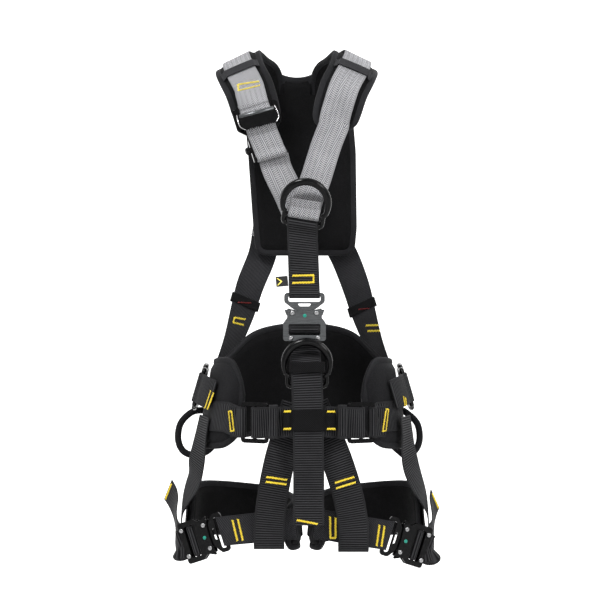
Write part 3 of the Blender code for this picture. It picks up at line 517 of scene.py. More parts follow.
def resampled(points, across, out, widths, step, closed=False):
    """Even stations along a run: arrays of points, side and outward directions, widths."""
    table = np.concatenate([np.array(points), np.array(across), np.array(out),
                            np.array(widths)[:, None]], axis=1)
    if closed:
        table = np.concatenate([table[-1:], table, table[:2]])
    else:
        table = np.concatenate([2 * table[:1] - table[1:2], table, 2 * table[-1:] - table[-2:-1]])
    a, b, c, d = (table[k : len(table) - 3 + k, None, :] for k in range(4))
    t = (np.arange(6) / 6)[None, :, None]
    dense = spline(a, b, c, d, t).reshape(-1, table.shape[1])
    dense = np.concatenate([dense, table[1:2] if closed else table[-2:-1]])
    length = np.concatenate([[0], np.cumsum(np.linalg.norm(np.diff(dense[:, :3], axis=0), axis=1))])
    count = max(int(round(length[-1] / step)), 4)
    where = np.linspace(0, length[-1], count + 1)
    made = np.stack([np.interp(where, length, dense[:, k]) for k in range(dense.shape[1])], axis=1)
    if closed:
        made = made[:-1]
    side, up = made[:, 3:6], made[:, 6:9]
    side /= np.linalg.norm(side, axis=1)[:, None]
    up -= side * (side * up).sum(axis=1)[:, None]
    up /= np.linalg.norm(up, axis=1)[:, None]
    return made[:, :3], side, up, made[:, 9], where


def tape_mesh(name, points, side, up, widths, where, thick, closed, ribs):
    """Tape with rounded edges and, where ribs is set, woven cross ribs."""
    radius = thick / 2
    arc = np.radians([-60, -20, 20, 60])
    inner = np.array([-1, -0.86, -0.43, 0, 0.43, 0.86, 1])
    profile = [(f, 0.0, 1) for f in inner]
    profile += [(1, math.cos(a) * radius, -math.sin(a)) for a in arc]
    profile += [(f, 0.0, -1) for f in inner[::-1]]
    profile += [(-1, -math.cos(a) * radius, math.sin(a)) for a in arc]
    fraction = np.array([p[0] for p in profile])
    extra = np.array([p[1] for p in profile])
    level = np.array([p[2] for p in profile], float)
    x = fraction[None] * (widths[:, None] / 2 - radius) + extra[None]
    height = np.broadcast_to(level[None] * radius, x.shape).copy()
    if ribs:
        wave = np.abs(np.sin(math.pi * where[: len(points)] / RIB_PITCH))
        flat_part = np.abs(level) == 1
        height[:, flat_part] -= (np.sign(level)[None] * (1 - wave[:, None]) * 0.00022)[:, flat_part]
    rings = points[:, None] + side[:, None] * x[..., None] + up[:, None] * height[..., None]
    rings = rings[:, ::-1]
    x = x[:, ::-1]
    uvs = np.zeros((len(where) if closed else len(points) + 1, len(profile) + 1, 2))
    uvs[: len(points), :-1, 0] = x
    uvs[: len(points), -1, 0] = x[:, 0]
    uvs[len(points) :, :, 0] = uvs[0, :, 0]
    span = where[: len(uvs)] if closed else np.append(where[: len(points)], where[-1])
    uvs[:, :, 1] = span[:, None]
    return grid_mesh(name, rings, uvs, closed)


def directions(stations, wall=False):
    """A run's points, across and outward directions and widths. A wall's across stands upright."""
    points, across_all, out_all, widths = [], [], [], []
    for (point, normal, *width), along in zip(stations, tangents([s[0] for s in stations], False)):
        across = upright(normal) if wall else along.cross(normal).normalized()
        points.append(point)
        across_all.append(across)
        out_all.append(normal if wall else across.cross(along).normalized())
        widths.append(width[0] if width else WEB_WIDTH)
    return points, across_all, out_all, widths


def add_tape(name, parts, thick, closed, ribs, material, replaces, label=None):
    """Shows a run of tape and remembers its surface for stitches."""
    label = label or f"{name}_tape"
    mesh = tape_mesh(label, *parts, thick, closed, ribs)
    piece = add_piece(label, mesh, [material], replaces)
    TREES[name] = BVHTree.FromObject(piece, bpy.context.evaluated_depsgraph_get())


def band(name, stations, material, thick=WEB_THICK, ribs=True,
         replaces=None):
    """Webbing along dense (point, outward normal, width) stations."""
    parts = resampled(*directions(stations), RIB_PITCH / 4 if ribs else PLAIN_STEP)
    add_tape(name, parts, thick, False, ribs, material,
             (name,) if replaces is None else replaces)
    RUNS[name] = parts
    return parts


def loop_band(name, bar_a, bar_b, axis_a, axis_b, material,
              radius_a=0.0052, radius_b=DOUBLED, width=WEB_WIDTH, bow=0.0):
    """A sewn loop of webbing round two bars: open at the bars, doubled flat between them."""
    span = bar_b - bar_a
    length, along = span.length, span.normalized()
    arc = [math.radians(a) for a in range(-100, 101, 25)]
    flat = [(-radius_a * math.cos(a), -radius_a * math.sin(a)) for a in reversed(arc)]
    middle = [1.9 * radius_a + (length - 1.9 * (radius_a + radius_b)) * k / 4 for k in range(5)]
    flat += [(s, DOUBLED) for s in middle]
    flat += [(length + radius_b * math.cos(a), radius_b * math.sin(a)) for a in reversed(arc)]
    flat += [(s, -DOUBLED) for s in reversed(middle)]
    points, across, out = [], [], []
    for i, (s, h) in enumerate(flat):
        share = min(max(s / length, 0), 1)
        axis = axis_a.lerp(axis_b, share).normalized()
        side = axis.cross(along).normalized()
        before, after = Vector(flat[i - 1]), Vector(flat[(i + 1) % len(flat)])
        way = (after - before).normalized()
        points.append(bar_a + along * s + side * (h + bow * 4 * share * (1 - share)))
        across.append(axis)
        out.append(side * way.x - along * way.y)
    parts = resampled(points, across, out, [width] * len(points), RIB_PITCH / 4, True)
    add_tape(name, parts, WEB_THICK, True, True, material, (name,))


def pad_height(distance, thick):
    """Half thickness of a bound pad at a distance from its edge."""
    edge = thick * 0.30
    rounded = np.sqrt(np.clip(1 - (1 - np.clip(distance / 0.0030, 0, 1)) ** 2, 0, 1))
    rise = np.clip((distance - BOUND) / 0.010, 0, 1)
    rise = rise * rise * (3 - 2 * rise)
    groove = 0.0009 * np.exp(-((distance - BOUND) / 0.0009) ** 2)
    return edge * rounded + (thick / 2 - edge) * rise - groove


def pad_band(name, stations, thick, materials, wall=True, round_ends=(1, 1), grows=0):
    """A bound foam pad along dense (point, outward normal, width) stations.

    Its edge on the side that grows gives is unbound near the start, where a neighbour goes on."""
    fine, coarse, corner = 0.0010, 0.003, 0.010
    *tracks, where = resampled(*directions(stations, wall), fine)
    total = where[-1]
    inside = EDGE_STEPS[-1]
    rows = np.array([*EDGE_STEPS, *np.arange(inside + coarse, total - inside - fine, coarse),
                     *(total - d for d in reversed(EDGE_STEPS))])
    index = np.interp(rows, where, np.arange(len(where)))
    low = np.clip(index.astype(int), 0, len(where) - 2)
    part = (index - low)[:, None]
    tracks[3] = tracks[3][:, None]
    p, side, up, w = (a[low] * (1 - part) + a[low + 1] * part for a in tracks)
    columns = [("edge", d) for d in EDGE_STEPS]
    columns += [("mid", f) for f in (0.2, 0.4, 0.6, 0.8)] + [("far", d) for d in reversed(EDGE_STEPS)]
    half = w[:, 0] / 2
    x = np.zeros((len(rows), len(columns)))
    for k, (kind, value) in enumerate(columns):
        reach = np.minimum(inside, half * 0.9)
        scale = reach / inside
        if kind == "edge":
            x[:, k] = -half + value * scale
        elif kind == "far":
            x[:, k] = half - value * scale
        else:
            x[:, k] = (-half + reach) + (2 * half - 2 * reach) * value
    edge_distance = half[:, None] - np.abs(x)
    if grows:
        share = np.clip((0.034 - rows) / 0.012, 0, 1)[:, None] * (x * grows > 0)
        edge_distance = edge_distance + share * inside
    start = (rows if round_ends[0] else np.ones_like(rows))[:, None]
    finish = (total - rows if round_ends[1] else np.ones_like(rows))[:, None]
    distance = np.minimum(np.minimum(edge_distance, start), finish)
    height = np.minimum(pad_height(distance, thick), thick / 2)
    # Corners are rounded in plan by drawing the edge in towards the ends
    ends = np.minimum(start, finish)[:, 0]
    pull = corner - np.sqrt(np.clip(corner ** 2 - np.clip(corner - ends, 0, corner) ** 2, 0, None))
    x = x * (1 - pull / half)[:, None]
    top = p[:, None] + side[:, None] * x[..., None] + up[:, None] * height[..., None]
    under = p[:, None] + side[:, None] * x[..., None] - up[:, None] * height[..., None]
    rings = np.concatenate([top, under[:, ::-1]], axis=1)[:, ::-1]
    both = np.concatenate([distance, distance[:, ::-1]], axis=1)[:, ::-1]
    beside = np.roll(both, -1, axis=1)
    middle = (both[:-1] + beside[:-1] + both[1:] + beside[1:]) / 4
    picks = (middle < BOUND).astype(int)
    if len(materials) > 2:
        outer = np.arange(rings.shape[1])[None] >= rings.shape[1] // 2
        picks = np.where((picks == 0) & outer, 2, picks)
    across = np.concatenate([x, x[:, ::-1]], axis=1)[:, ::-1]
    uvs = np.zeros((len(rows) + 1, rings.shape[1] + 1, 2))
    uvs[:-1, :-1, 0] = across
    uvs[:-1, -1, 0] = across[:, 0]
    uvs[:-1, :, 1] = rows[:, None]
    uvs[-1] = uvs[-2]
    mesh = grid_mesh(f"{name}_cover", rings, uvs, False, picks)
    piece = add_piece(f"{name}_cover", mesh, materials, (name,))


def tube(name, points, radii, closed=False, sides=20, side_on=UP):
    """A round tube along points, its radius given at each."""
    rings = []
    for point, radius, along in zip(points, radii, tangents(points, closed)):
        across = along.cross(side_on).normalized()
        other = across.cross(along).normalized()
        turns = [2 * math.pi * (k + 0.5) / sides for k in range(sides)]
        rings.append([tuple(point + radius * (across * math.cos(a) + other * math.sin(a)))
                      for a in turns])
    return grid_mesh(name, np.array(rings), closed=closed)


def merged(name, meshes):
    """One mesh of several that are joined or touch."""
    work = bmesh.new()
    for mesh in meshes:
        work.from_mesh(mesh)
        bpy.data.meshes.remove(mesh)
    made = bpy.data.meshes.new(name)
    work.to_mesh(made)
    work.free()
    return made


def ring_piece(node, material, matrix):
    """A forged attachment ring, drawn finer than its CAD node."""
    start = math.radians(-22)
    sweep = math.radians(224)
    arc = [start + sweep * k / 56 for k in range(57)]
    eye = [Vector((RING_EYE_RADIUS * math.cos(a), 0,
                   RING_EYE_HEIGHT + RING_EYE_RADIUS * math.sin(a))) for a in arc]
    base = RING_HALF_BASE
    corner = 0.005
    left = [Vector((-base - 0.0004, 0, 0.0185)), Vector((-base, 0, 0.012))]
    left += [Vector((-base + corner - corner * math.cos(a), 0, corner - corner * math.sin(a)))
             for a in (math.radians(15 * k) for k in range(7))]
    right = [Vector((-p.x, 0, p.z)) for p in reversed(left)]
    points = eye + left + [Vector((-base / 2, 0, 0)), Vector((0, 0, 0)),
                           Vector((base / 2, 0, 0))] + right
    radii = [RING_BAR_RADIUS + (RING_TUBE_RADIUS - RING_BAR_RADIUS)
             * min(max((p.z - 0.016) / 0.030, 0), 1) for p in points]
    outer = tube("frame", points, radii, True, side_on=FRONT)
    bar = tube("bar", [Vector((-base, 0, RING_CROSSBAR_HEIGHT)),
                       Vector((base, 0, RING_CROSSBAR_HEIGHT))], [0.0026, 0.0026])
    collars = []
    for side in (-1, 1):
        spots = [Vector((side * (base - d), 0, RING_CROSSBAR_HEIGHT)) for d in (0, 0.0035, 0.0045)]
        collars.append(tube("collar", spots, [0.0036, 0.0036, 0.0027]))
    mesh = merged(f"{node}_forged", [outer, bar, *collars])
    add_piece(f"{node}_forged", mesh, [material], (node,), node, matrix)


def eased(part, width, angle):
    """Rounds a part's edges that are sharper than angle."""
    ease = part.modifiers.new("ease", "BEVEL")
    ease.width = width
    ease.segments = 2
    ease.limit_method = "ANGLE"
    ease.angle_limit = math.radians(angle)


def keep_node(node, material, bevel=0.0004):
    """A CAD node that stays: its edges are eased and it takes a finished material."""
    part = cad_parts[node]
    for spot in part.material_slots:
        spot.material = material
    eased(part, bevel, 38)


# ---------------------------------------------------------------- stitching
def landed(tree, point, toward):
    """Where a point lands on a piece when pushed along toward, and the normal there."""
    spot, normal, _, _ = tree.ray_cast(point - toward * 0.4, toward)
    if spot is None:
        spot, normal, _, _ = tree.find_nearest(point)
    if normal.dot(toward) > 0:
        normal = -normal
    return spot, normal


THREADS = {}


def thread(tree, a, b, toward, width, colour):
    """A satin-stitched bar from a to b: thread laid back and forth over the surface."""
    pitch, radius = 0.0011, 0.00062
    count = max(int((b - a).length / pitch), 2)
    along = (b - a).normalized()
    rings = []
    for k in range(count + 1):
        spot, normal = landed(tree, a.lerp(b, k / count), toward)
        across = normal.cross(along).normalized()
        side = 1 if k % 2 else -1
        wobble = 1 + 0.10 * random.uniform(-1, 1)
        point = spot + across * (side * width / 2 * wobble) + normal * radius * 0.5
        # The thread's width runs along the bar and its height along the normal
        rings.append([tuple(point + along * radius), tuple(point + normal * radius * 1.2),
                      tuple(point - along * radius), tuple(point - normal * radius)])
    THREADS.setdefault(colour, []).append(grid_mesh("thread", np.array(rings)))


def bars(node, spots, colour="yellow", width=STITCH_WIDTH):
    """Stitched bars on a node's webbing, each from x, z to x, z as seen from the front."""
    for x0, z0, x1, z1 in spots:
        thread(TREES[node], Vector((x0, 0, z0)), Vector((x1, 0, z1)), -FRONT, width, colour)


# ---------------------------------------------------------------- yoke
def plan_distance(points, outline, free):
    """Distance of plan points from an outline, leaving out the edges that free picks."""
    a = np.array(outline)
    b = np.roll(a, -1, axis=0)
    keep = np.array([not free(p, q) for p, q in zip(a, b)])
    a, b = a[keep], b[keep]
    span = b - a
    share = ((points[:, None] - a) * span).sum(axis=2) / (span ** 2).sum(axis=1)
    nearest = a + span * np.clip(share, 0, 1)[..., None]
    return np.linalg.norm(points[:, None] - nearest, axis=2).min(axis=1)


def build_back_pad(cloth, binding):
    """The yoke's flat panel: bound all round but where the shoulder pads grow out of it."""
    half = [(0.0860, 0.1500), (0.0215, 0.1500), (0.0220, 0.1640), (0.0270, 0.1845)]
    outline = [(YOKE_X - x, z, 0.001) for x, z in half] + [(YOKE_X, 0.1735, 0.060)]
    outline += [(YOKE_X + x, z, 0.001) for x, z in reversed(half)]
    outline = fillet(outline + [(0.0885, 0.060, 0.200), (0.090, -0.060, 0.100),
                                (0.086, -0.104, 0.020), (-0.070, -0.104, 0.020),
                                (-0.074, -0.060, 0.100), (-0.0825, 0.060, 0.200)], 8)
    edge = []
    for i, here in enumerate(outline):
        after = outline[(i + 1) % len(outline)]
        count = max(int((after - here).length / 0.0030), 1)
        edge += [here.lerp(after, k / count)[:2] for k in range(count)]
    edge = np.array(edge)

    def free(p, q):
        x = abs((p[0] + q[0]) / 2 - YOKE_X)
        return min(p[1], q[1]) > 0.1484 and (x > 0.0255 or max(p[1], q[1]) < 0.178) and (
            x > 0.0180 or max(p[1], q[1]) < 0.160)

    def nothing(p, q):
        return False

    along = np.roll(edge, -1, axis=0) - np.roll(edge, 1, axis=0)
    inward = np.stack([along[:, 1], -along[:, 0]], axis=1)
    inward /= np.linalg.norm(inward, axis=1)[:, None]
    plan = [edge]
    for step in EDGE_STEPS[1:]:
        row = edge + inward * step
        plan.append(row[plan_distance(row, edge, nothing) > step - 0.0002])
    grid = np.stack(np.meshgrid(np.arange(-0.098, 0.098, 0.0040),
                                np.arange(-0.110, 0.190, 0.0040)), axis=2).reshape(-1, 2)
    grid += np.where((grid[:, 1:] / 0.004).round() % 2 == 0, 0.0, 0.002) * (1, 0)
    inside = np.zeros(len(grid), bool)
    for p, q in zip(edge, np.roll(edge, -1, axis=0)):
        crosses = (p[1] > grid[:, 1]) != (q[1] > grid[:, 1])
        at_x = p[0] + (grid[:, 1] - p[1]) * (q[0] - p[0]) / (q[1] - p[1] or 1)
        inside ^= crosses & (grid[:, 0] < at_x)
    plan.append(grid[inside & (plan_distance(grid, edge, nothing) > EDGE_STEPS[-1] + 0.0015)])
    plan = np.concatenate(plan)
    loop = list(range(len(edge)))
    flat, _, tris, _, _, _ = mathutils.geometry.delaunay_2d_cdt(
        [Vector(p) for p in plan], [], [loop], 1, 1e-6)
    flat = np.array([tuple(p) for p in flat])
    distance = plan_distance(flat, edge, free)
    height = pad_height(distance, YOKE_THICK)
    count = len(flat)
    middle = YOKE_THICK / 2
    verts = [(x, middle + h, z) for (x, z), h in zip(flat, height)]
    verts += [(x, middle - h, z) for (x, z), h in zip(flat, height)]
    faces = [tuple(f) for f in tris] + [tuple(k + count for k in reversed(f)) for f in tris]
    mesh = bpy.data.meshes.new("back_pad_cover")
    mesh.from_pydata(verts, [], faces)
    work = bmesh.new()
    work.from_mesh(mesh)
    rims = [e for e in work.edges if len(e.link_faces) == 1]
    bmesh.ops.bridge_loops(work, edges=rims)
    bmesh.ops.remove_doubles(work, verts=work.verts, dist=1e-6)
    bmesh.ops.recalc_face_normals(work, faces=work.faces)
    for face in work.faces:
        face.smooth = True
        centre = face.calc_center_median()
        face.material_index = int(plan_distance(np.array([(centre.x, centre.z)]), edge,
                                                free)[0] < BOUND)
    work.to_mesh(mesh)
    work.free()
    piece = add_piece("back_pad_cover", mesh, [cloth, binding], ("back_pad",))


def build_yoke(m):
    build_back_pad(m["pad"], m["binding"])
    runs = {}
    for side, way in SIDES:
        middle = YOKE_THICK - SHOULDER_THICK / 2
        path = run(placed([
            (0.0535, middle, 0.1496, 0, 1, 0, 0.067),
            (0.0540, middle - 0.001, 0.1660, 0.03, 0.97, 0.2, 0.068),
            (0.0600, -0.006, 0.1790, 0.13, 0.76, 0.63, 0.070),
            (0.0740, -0.038, 0.1865, 0.33, 0.25, 0.91, 0.071),
            (0.0845, -0.071, 0.1905, 0.38, 0.02, 0.92, 0.074),
            (0.0890, -0.100, 0.1870, 0.44, -0.30, 0.84, 0.077),
            (0.0830, -0.135, 0.1670, 0.30, -0.65, 0.70, SHOULDER_WIDTH),
            (0.0700, -0.160, 0.1390, 0.12, -0.88, 0.46, SHOULDER_WIDTH),
            (0.0580, -0.180, 0.0980, 0, -0.97, 0.25, 0.070),
            (0.0550, -0.1855, 0.0820, 0, -0.99, 0.12, 0.054),
            (0.0540, -0.1865, 0.0750, 0, -0.99, 0.12, 0.034)], YOKE_X, way))
        pad_band(f"shoulder_pad_{side}", path, SHOULDER_THICK, [m["pad"], m["binding"]],
                 wall=False, round_ends=(0, 1), grows=-way)
        over = 0.0010 if side == "r" else 0.0010 + GAP + WEB_THICK
        on_pad = lifted(path, SHOULDER_THICK / 2 + over + WEB_THICK / 2)

        # Keeper sewn across the pad, over the webbing, in front of the crest
        base = min(path, key=lambda s: abs(s[0].z - 0.1690) + (s[0].y > -0.10))
        place = path.index(base)
        ahead = (path[place + 1][0] - path[place - 1][0]).normalized()
        across = ahead.cross(base[1]).normalized()
        lift = SHOULDER_THICK / 2 + over + 1.5 * WEB_THICK + 0.0004
        slope = [(0.80, 0.0060), (0.76, 0.0066), (0.70, 0.0074), (0.64, lift - 0.0008),
                 (0.60, lift), (0.3, lift + 0.0003)]
        arch = [(-f, h) for f, h in slope] + [(0, lift + 0.0004)] + slope[::-1]
        keeper = [(base[0] + across * (f * base[2] / 2) + base[1] * h, base[1], 0.018)
                  for f, h in arch]
        band(f"shoulder_keeper_{side}", keeper, m["twill"], thick=0.0011, ribs=False, replaces=())

        # Webbing down the back: the right strap crosses under the left one
        back = Vector((0, 1, 0))
        level = YOKE_THICK + over + WEB_THICK / 2
        crossing = ((-0.054, -0.082), (-0.030, -0.045), (0, 0.001), (0.028, 0.062), (0.041, 0.112))
        behind = run([(Vector((YOKE_X + way * x, level, z)), back) for x, z in crossing]
                     + [on_pad[0]])
        runs[side] = plain(behind[:-1]) + on_pad
    return runs


def flat_plate(name, outline, low, high, material, matrix, bevel):
    """A plate cut to an outline, its edges eased."""
    work = bmesh.new()
    verts = [work.verts.new((p[0], p[1], low)) for p in outline]
    for a, b in zip(verts, verts[1:] + verts[:1]):
        work.edges.new((a, b))
    made = bmesh.ops.triangle_fill(work, use_beauty=True, edges=work.edges[:])
    faces = [f for f in made["geom"] if isinstance(f, bmesh.types.BMFace)]
    grown = bmesh.ops.extrude_face_region(work, geom=faces)
    top = [v for v in grown["geom"] if isinstance(v, bmesh.types.BMVert)]
    bmesh.ops.translate(work, verts=top, vec=(0, 0, high - low))
    bmesh.ops.recalc_face_normals(work, faces=work.faces)
    mesh = bpy.data.meshes.new(name)
    work.to_mesh(mesh)
    work.free()
    piece = add_piece(name, mesh, [material], matrix=matrix)
    eased(piece, bevel, 40)
    return piece


def build_adjuster_cover(adjuster, m):
    """The adjuster's face: a roller and a notched cover below it."""
    half = [(0.0290, 0.0052, 0.001), (0.0290, -0.0075, 0.007), (0.0215, -0.0150, 0.002)]
    teeth = [(0.0190 - 0.0042 * k, -0.0150 + 0.0014 * (k % 2), 0.0004) for k in range(5)]
    outline = fillet(mirrored(half + teeth), 3)
    flat_plate("shoulder_adjuster_cover", outline, 0.0092, 0.0112, m["dark"],
               adjuster, 0.0005)
    spots = [Vector((x, 0.0070, 0.0078)) for x in (-0.0262, -0.0256, 0.0256, 0.0262)]
    roller = tube("roller", spots, [0.0034, 0.0042, 0.0042, 0.0034], sides=24)
    add_piece("shoulder_adjuster_roller", roller, [m["steel"]], matrix=adjuster)
    # Thin bright wires along the cover's side edges are painted edge highlights, standing in for the
    # light the edges catch.
    edge = [Vector((-0.0288, 0.0150, 0.0040)), Vector((-0.0300, 0.0020, 0.0080)),
            Vector((-0.0292, -0.0080, 0.0095)), Vector((-0.0235, -0.0145, 0.0100))]
    for side in (-1, 1):
        path = smooth(smooth([Vector((side * p.x, p.y, p.z)) for p in edge], 3), 2)
        edge_highlight_wire = tube("rim", path, [0.0009] * len(path), sides=10, side_on=FRONT)
        add_piece(f"shoulder_adjuster_edge_highlight_{'r' if side < 0 else 'l'}", edge_highlight_wire, [m["bright"]],
                  matrix=adjuster)


def build_shoulder_fronts(runs, m, ring):
    grey = m["grey"]
    # The wearer's left strap goes straight to the chest ring and turns round its crossbar
    crossbar = ring @ Vector((0, 0, RING_CROSSBAR_HEIGHT))
    down = -(ring.to_3x3() @ UP)
    out = -(ring.to_3x3() @ Vector((0, 1, 0)))
    free = placed([(0.0375, -0.2055, 0.050, 0, -0.96, 0.28),
                   (0.0227, -0.2240, 0.0018, 0, -0.94, 0.34),
                   (0.0125, -0.2345, -0.0245, 0, -0.94, 0.34)])
    end = hook(crossbar, down, out, radius=0.0046, tail=0.014)
    left = runs["l"][:-3]
    between = run([left[-1], *free, end[1]])[1:-1]
    band("shoulder_strap_l", left + plain(between) + end[1:], grey)

    # The wearer's right strap: over the pad, an adjuster, a short loop, then to the ring
    adjuster = facing(Vector((-0.0620, -0.1978, 0.0920)), Vector((0.955, 0, 0.297)),
                      Vector((0.05, -0.97, 0.26)))
    turn = adjuster.to_3x3()
    roller = adjuster @ Vector((0, 0.0065, 0))
    end = hook(roller, turn @ Vector((0, -1, 0)), turn @ UP, radius=0.0056, tail=0.012,
               lift=0.0034)
    right = runs["r"][:-9]
    over_rail = (adjuster @ Vector((0, 0.0275, 0.0036)), turn @ UP)
    lead = run([right[-1], over_rail, end[0]])[1:-1]
    band("shoulder_strap_r", right + plain(lead) + end, grey)
    build_adjuster_cover(adjuster, m)

    axis = turn @ Vector((1, 0, 0))
    low_bar = adjuster @ Vector((0, -0.0135, 0))
    rod = adjuster @ Vector((0.0035, -0.0585, -0.0012))
    loop_band("shoulder_loop", low_bar, rod, axis, axis, grey, radius_a=0.0048,
              radius_b=0.0046)
    start = rod + Vector((0.0018, 0.0094, 0.0030))
    band("chest_strap_r", run(placed([(*start, 0.05, -0.97, 0.26),
                                      (-0.0330, -0.2070, 0.0160, 0.1, -0.96, 0.26),
                                      (-0.0180, -0.2165, -0.0150, 0.05, -0.96, 0.26),
                                      (-0.0100, -0.2235, -0.0330, 0, -0.98, 0.2),
                                      (-0.0055, -0.2265, -0.0430, 0, -0.98, 0.2)])), grey)


def build_dorsal(m):
    """Unseen side: a plate over the crossing, and a ring on its own sewn loop."""
    right = Vector((-1, 0, 0))
    plate_back = YOKE_THICK + 2 * (GAP + WEB_THICK) + GAP
    level = plate_back + 0.003 + 1.5 * GAP + WEB_THICK
    bar = Vector((YOKE_X, level + 0.0015, 0.0480))
    low = Vector((YOKE_X, level, -0.0300))
    loop_band("dorsal_loop", bar, low, right, right, m["rib"])
    ring_piece("dorsal_ring", m["dark"], ring_matrix(bar, right, Vector((0, 0.10, 0.995))))


def build_centre(m, chest_ring, centre):
    ring_piece("chest_ring", m["dark"], chest_ring)
    turn = chest_ring.to_3x3()
    slack = chest_ring @ Vector((0, 0.0024, -0.0004))
    loop_band("chest_strap", slack, centre @ Vector((0, 0.0443, 0)), turn @ Vector((1, 0, 0)),
              Vector((1, 0, 0)), m["rib"], radius_a=0.0073, radius_b=0.0046)

    # Belly ring, its sewn loop, and the webbing that runs over the buckle's bar
    bar = Vector((0.010, -0.246, -0.2985))
    across = Vector((1, 0, 0))
    ring_piece("belly_ring", m["dark"], ring_matrix(bar, across, Vector((0, -0.03, 1))))
    loop_band("belly_loop", bar, Vector((0.0115, -0.2460, -0.3640)), across, across, m["rib"])
    rear = run(ahead_of([(0.0115, -0.2405, -0.3600), (0.0112, -0.2400, -0.3300),
                         (0.0100, -0.2350, -0.2950), (0.0075, -0.2265, -0.2550),
                         (0.0066, -0.2250, -0.2400)]), 2)
    tail = run(ahead_of([(0.0066, -0.2277, -0.2400), (0.0070, -0.2335, -0.2500),
                         (0.0080, -0.2480, -0.2640), (0.0095, -0.2575, -0.2820),
                         (0.0108, -0.2568, -0.3080), (0.0115, -0.2550, -0.3400),
                         (0.0120, -0.2546, -0.3750), (0.0125, -0.2500, -0.4300),
                         (0.0125, -0.2490, -0.4995)]), 2)
    band("belly_strap", buckle_wrap(centre, turned(rear), plain(tail)), m["rib"])

    # Elastic flap round the tail, and the smooth band that holds it down at the belt
    closed_band("tail_keeper", Vector((0.0103, -0.2585, -0.2705)), across, FRONT, UP, 0.0247,
                0.0029, 0.0150, m["elastic"])
    hold = [(-0.0250, -0.2520), (-0.0160, -0.2524), (-0.0128, -0.2540), (-0.0108, -0.2562),
            (-0.0060, -0.2572), (0.0120, -0.2578), (0.0300, -0.2572), (0.0348, -0.2562),
            (0.0368, -0.2540), (0.0400, -0.2524), (0.0518, -0.2520)]
    stations = [(Vector((x, y, -0.3478)), FRONT, 0.0310) for x, y in hold]
    band("belt_keeper", run(stations), m["elastic"], thick=0.0010, ribs=False, replaces=())


def closed_band(name, middle, side, up, along, half, rise, tall, material):
    """A loop of tape round something: side and up span its section, along its width."""
    points, out = [], []
    sharp, count = 0.22, 32
    for k in range(count):
        a = 2 * math.pi * k / count
        x = math.copysign(abs(math.cos(a)) ** sharp, math.cos(a)) * half
        y = math.copysign(abs(math.sin(a)) ** sharp, math.sin(a)) * rise
        points.append(middle + side * x + up * y)
        out.append((side * (x / half ** 2) + up * (y / rise ** 2)).normalized())
    parts = resampled(points, [along] * count, out, [tall] * count, 0.0012, True)
    add_tape(name, parts, 0.0010, True, False, material, (), name)


def keeper_on(name, parts, height, material):
    """An elastic keeper round a strap where the strap's middle is at a height."""
    points, side, up = parts[:3]
    k = int(np.argmin(np.abs(points[:, 2] - height)))
    s, u = Vector(side[k]), Vector(up[k])
    closed_band(name, Vector(points[k]), s, u, s.cross(u).normalized(), 0.0252, 0.0024, 0.0150,
                material)


# ---------------------------------------------------------------- waist
def roll_piece(name, centre, way, low, high, material):
    """Spare tape wound on itself, its last turn towards the belt."""
    turns = 3.4
    stations = []
    count = 80
    for k in range(count + 1):
        share = k / count
        angle = way * 2 * math.pi * turns * share + (math.pi if way > 0 else 0)
        radius = 0.0014 + 0.0056 * share
        out = Vector((math.cos(angle), math.sin(angle), 0))
        spot = Vector((centre.x, centre.y, (low + high) / 2)) + out * radius
        stations.append((spot, out, high - low))
    band(name, stations, material, thick=0.0014, ribs=False)


def build_belt(m):
    waist = (WAIST_X, *WAIST)
    shape = [(-141, -0.3370, 0.050), (-136, -0.3320, 0.096), (-127, -0.3270, 0.132),
             (-111, -0.3280, 0.138), (-90, -0.3300, 0.136), (-66, -0.3280, 0.132),
             (-51, -0.3170, 0.146), (-38, -0.3070, 0.166), (-22, -0.2995, 0.173),
             (0, -0.2965, 0.177)]
    shape += [(-a, z, w) for a, z, w in reversed(shape[:-1])]
    stations = []
    for degrees, z, width in shape:
        point, normal = around(waist, degrees, z, BELT_PAD_THICK / 2)
        stations.append((point, (normal + 0.14 * UP).normalized(), width))
    path = run(stations, 4)
    pad_band("belt_pad", path, BELT_PAD_THICK, [m["pad"], m["binding"], m["shell"]])

    ends = {}
    front = {}
    for side, way in SIDES:
        centre = Vector((FRONT_X + way * 0.0775, -0.2250, -0.3525))
        place = facing(centre, Vector((0.866, way * 0.50, 0)), Vector((way * 0.50, -0.866, 0)))
        turn = place.to_3x3()
        out, outward = turn @ UP, turn @ Vector((way, 0, 0))
        bar = place @ Vector((way * 0.0205, 0, 0))
        ends[side] = hook(bar, -outward, out, radius=0.0044, tail=0.014)
        front[side] = hook(centre, outward, out, radius=0.0046, tail=0.013, lift=0.0053)

    # Webbing round the waist, sewn to each buckle's outer bar
    middle = level_on(path, BELT_PAD_THICK / 2 + GAP + WEB_THICK / 2, -0.3475)[7:-7]
    first = run([ends["r"][0], middle[0]])[1:-1]
    last = run([middle[-1], ends["l"][0]])[1:-1]
    around_waist = list(reversed(ends["r"])) + plain(first) + middle + plain(last) + ends["l"]
    band("belt_webbing", around_waist, m["rib"])

    # Front webbing over each buckle's middle bar, its spare end rolled up
    crossing = ahead_of([(FRONT_X - 0.0270, -0.2500, -0.3500), (FRONT_X, -0.2502, -0.3490),
                         (FRONT_X + 0.0270, -0.2500, -0.3500)])
    inner = run([front["r"][0], *crossing, front["l"][0]])[1:-1]
    band("belt_front", list(reversed(front["r"])) + plain(inner) + front["l"], m["rib"])
    for side, way in SIDES:
        centre = Vector((FRONT_X + way * 0.0500, -0.2565, 0))
        roll_piece(f"belt_roll_{side}", centre, way, -0.3740, -0.3250, m["rib"])


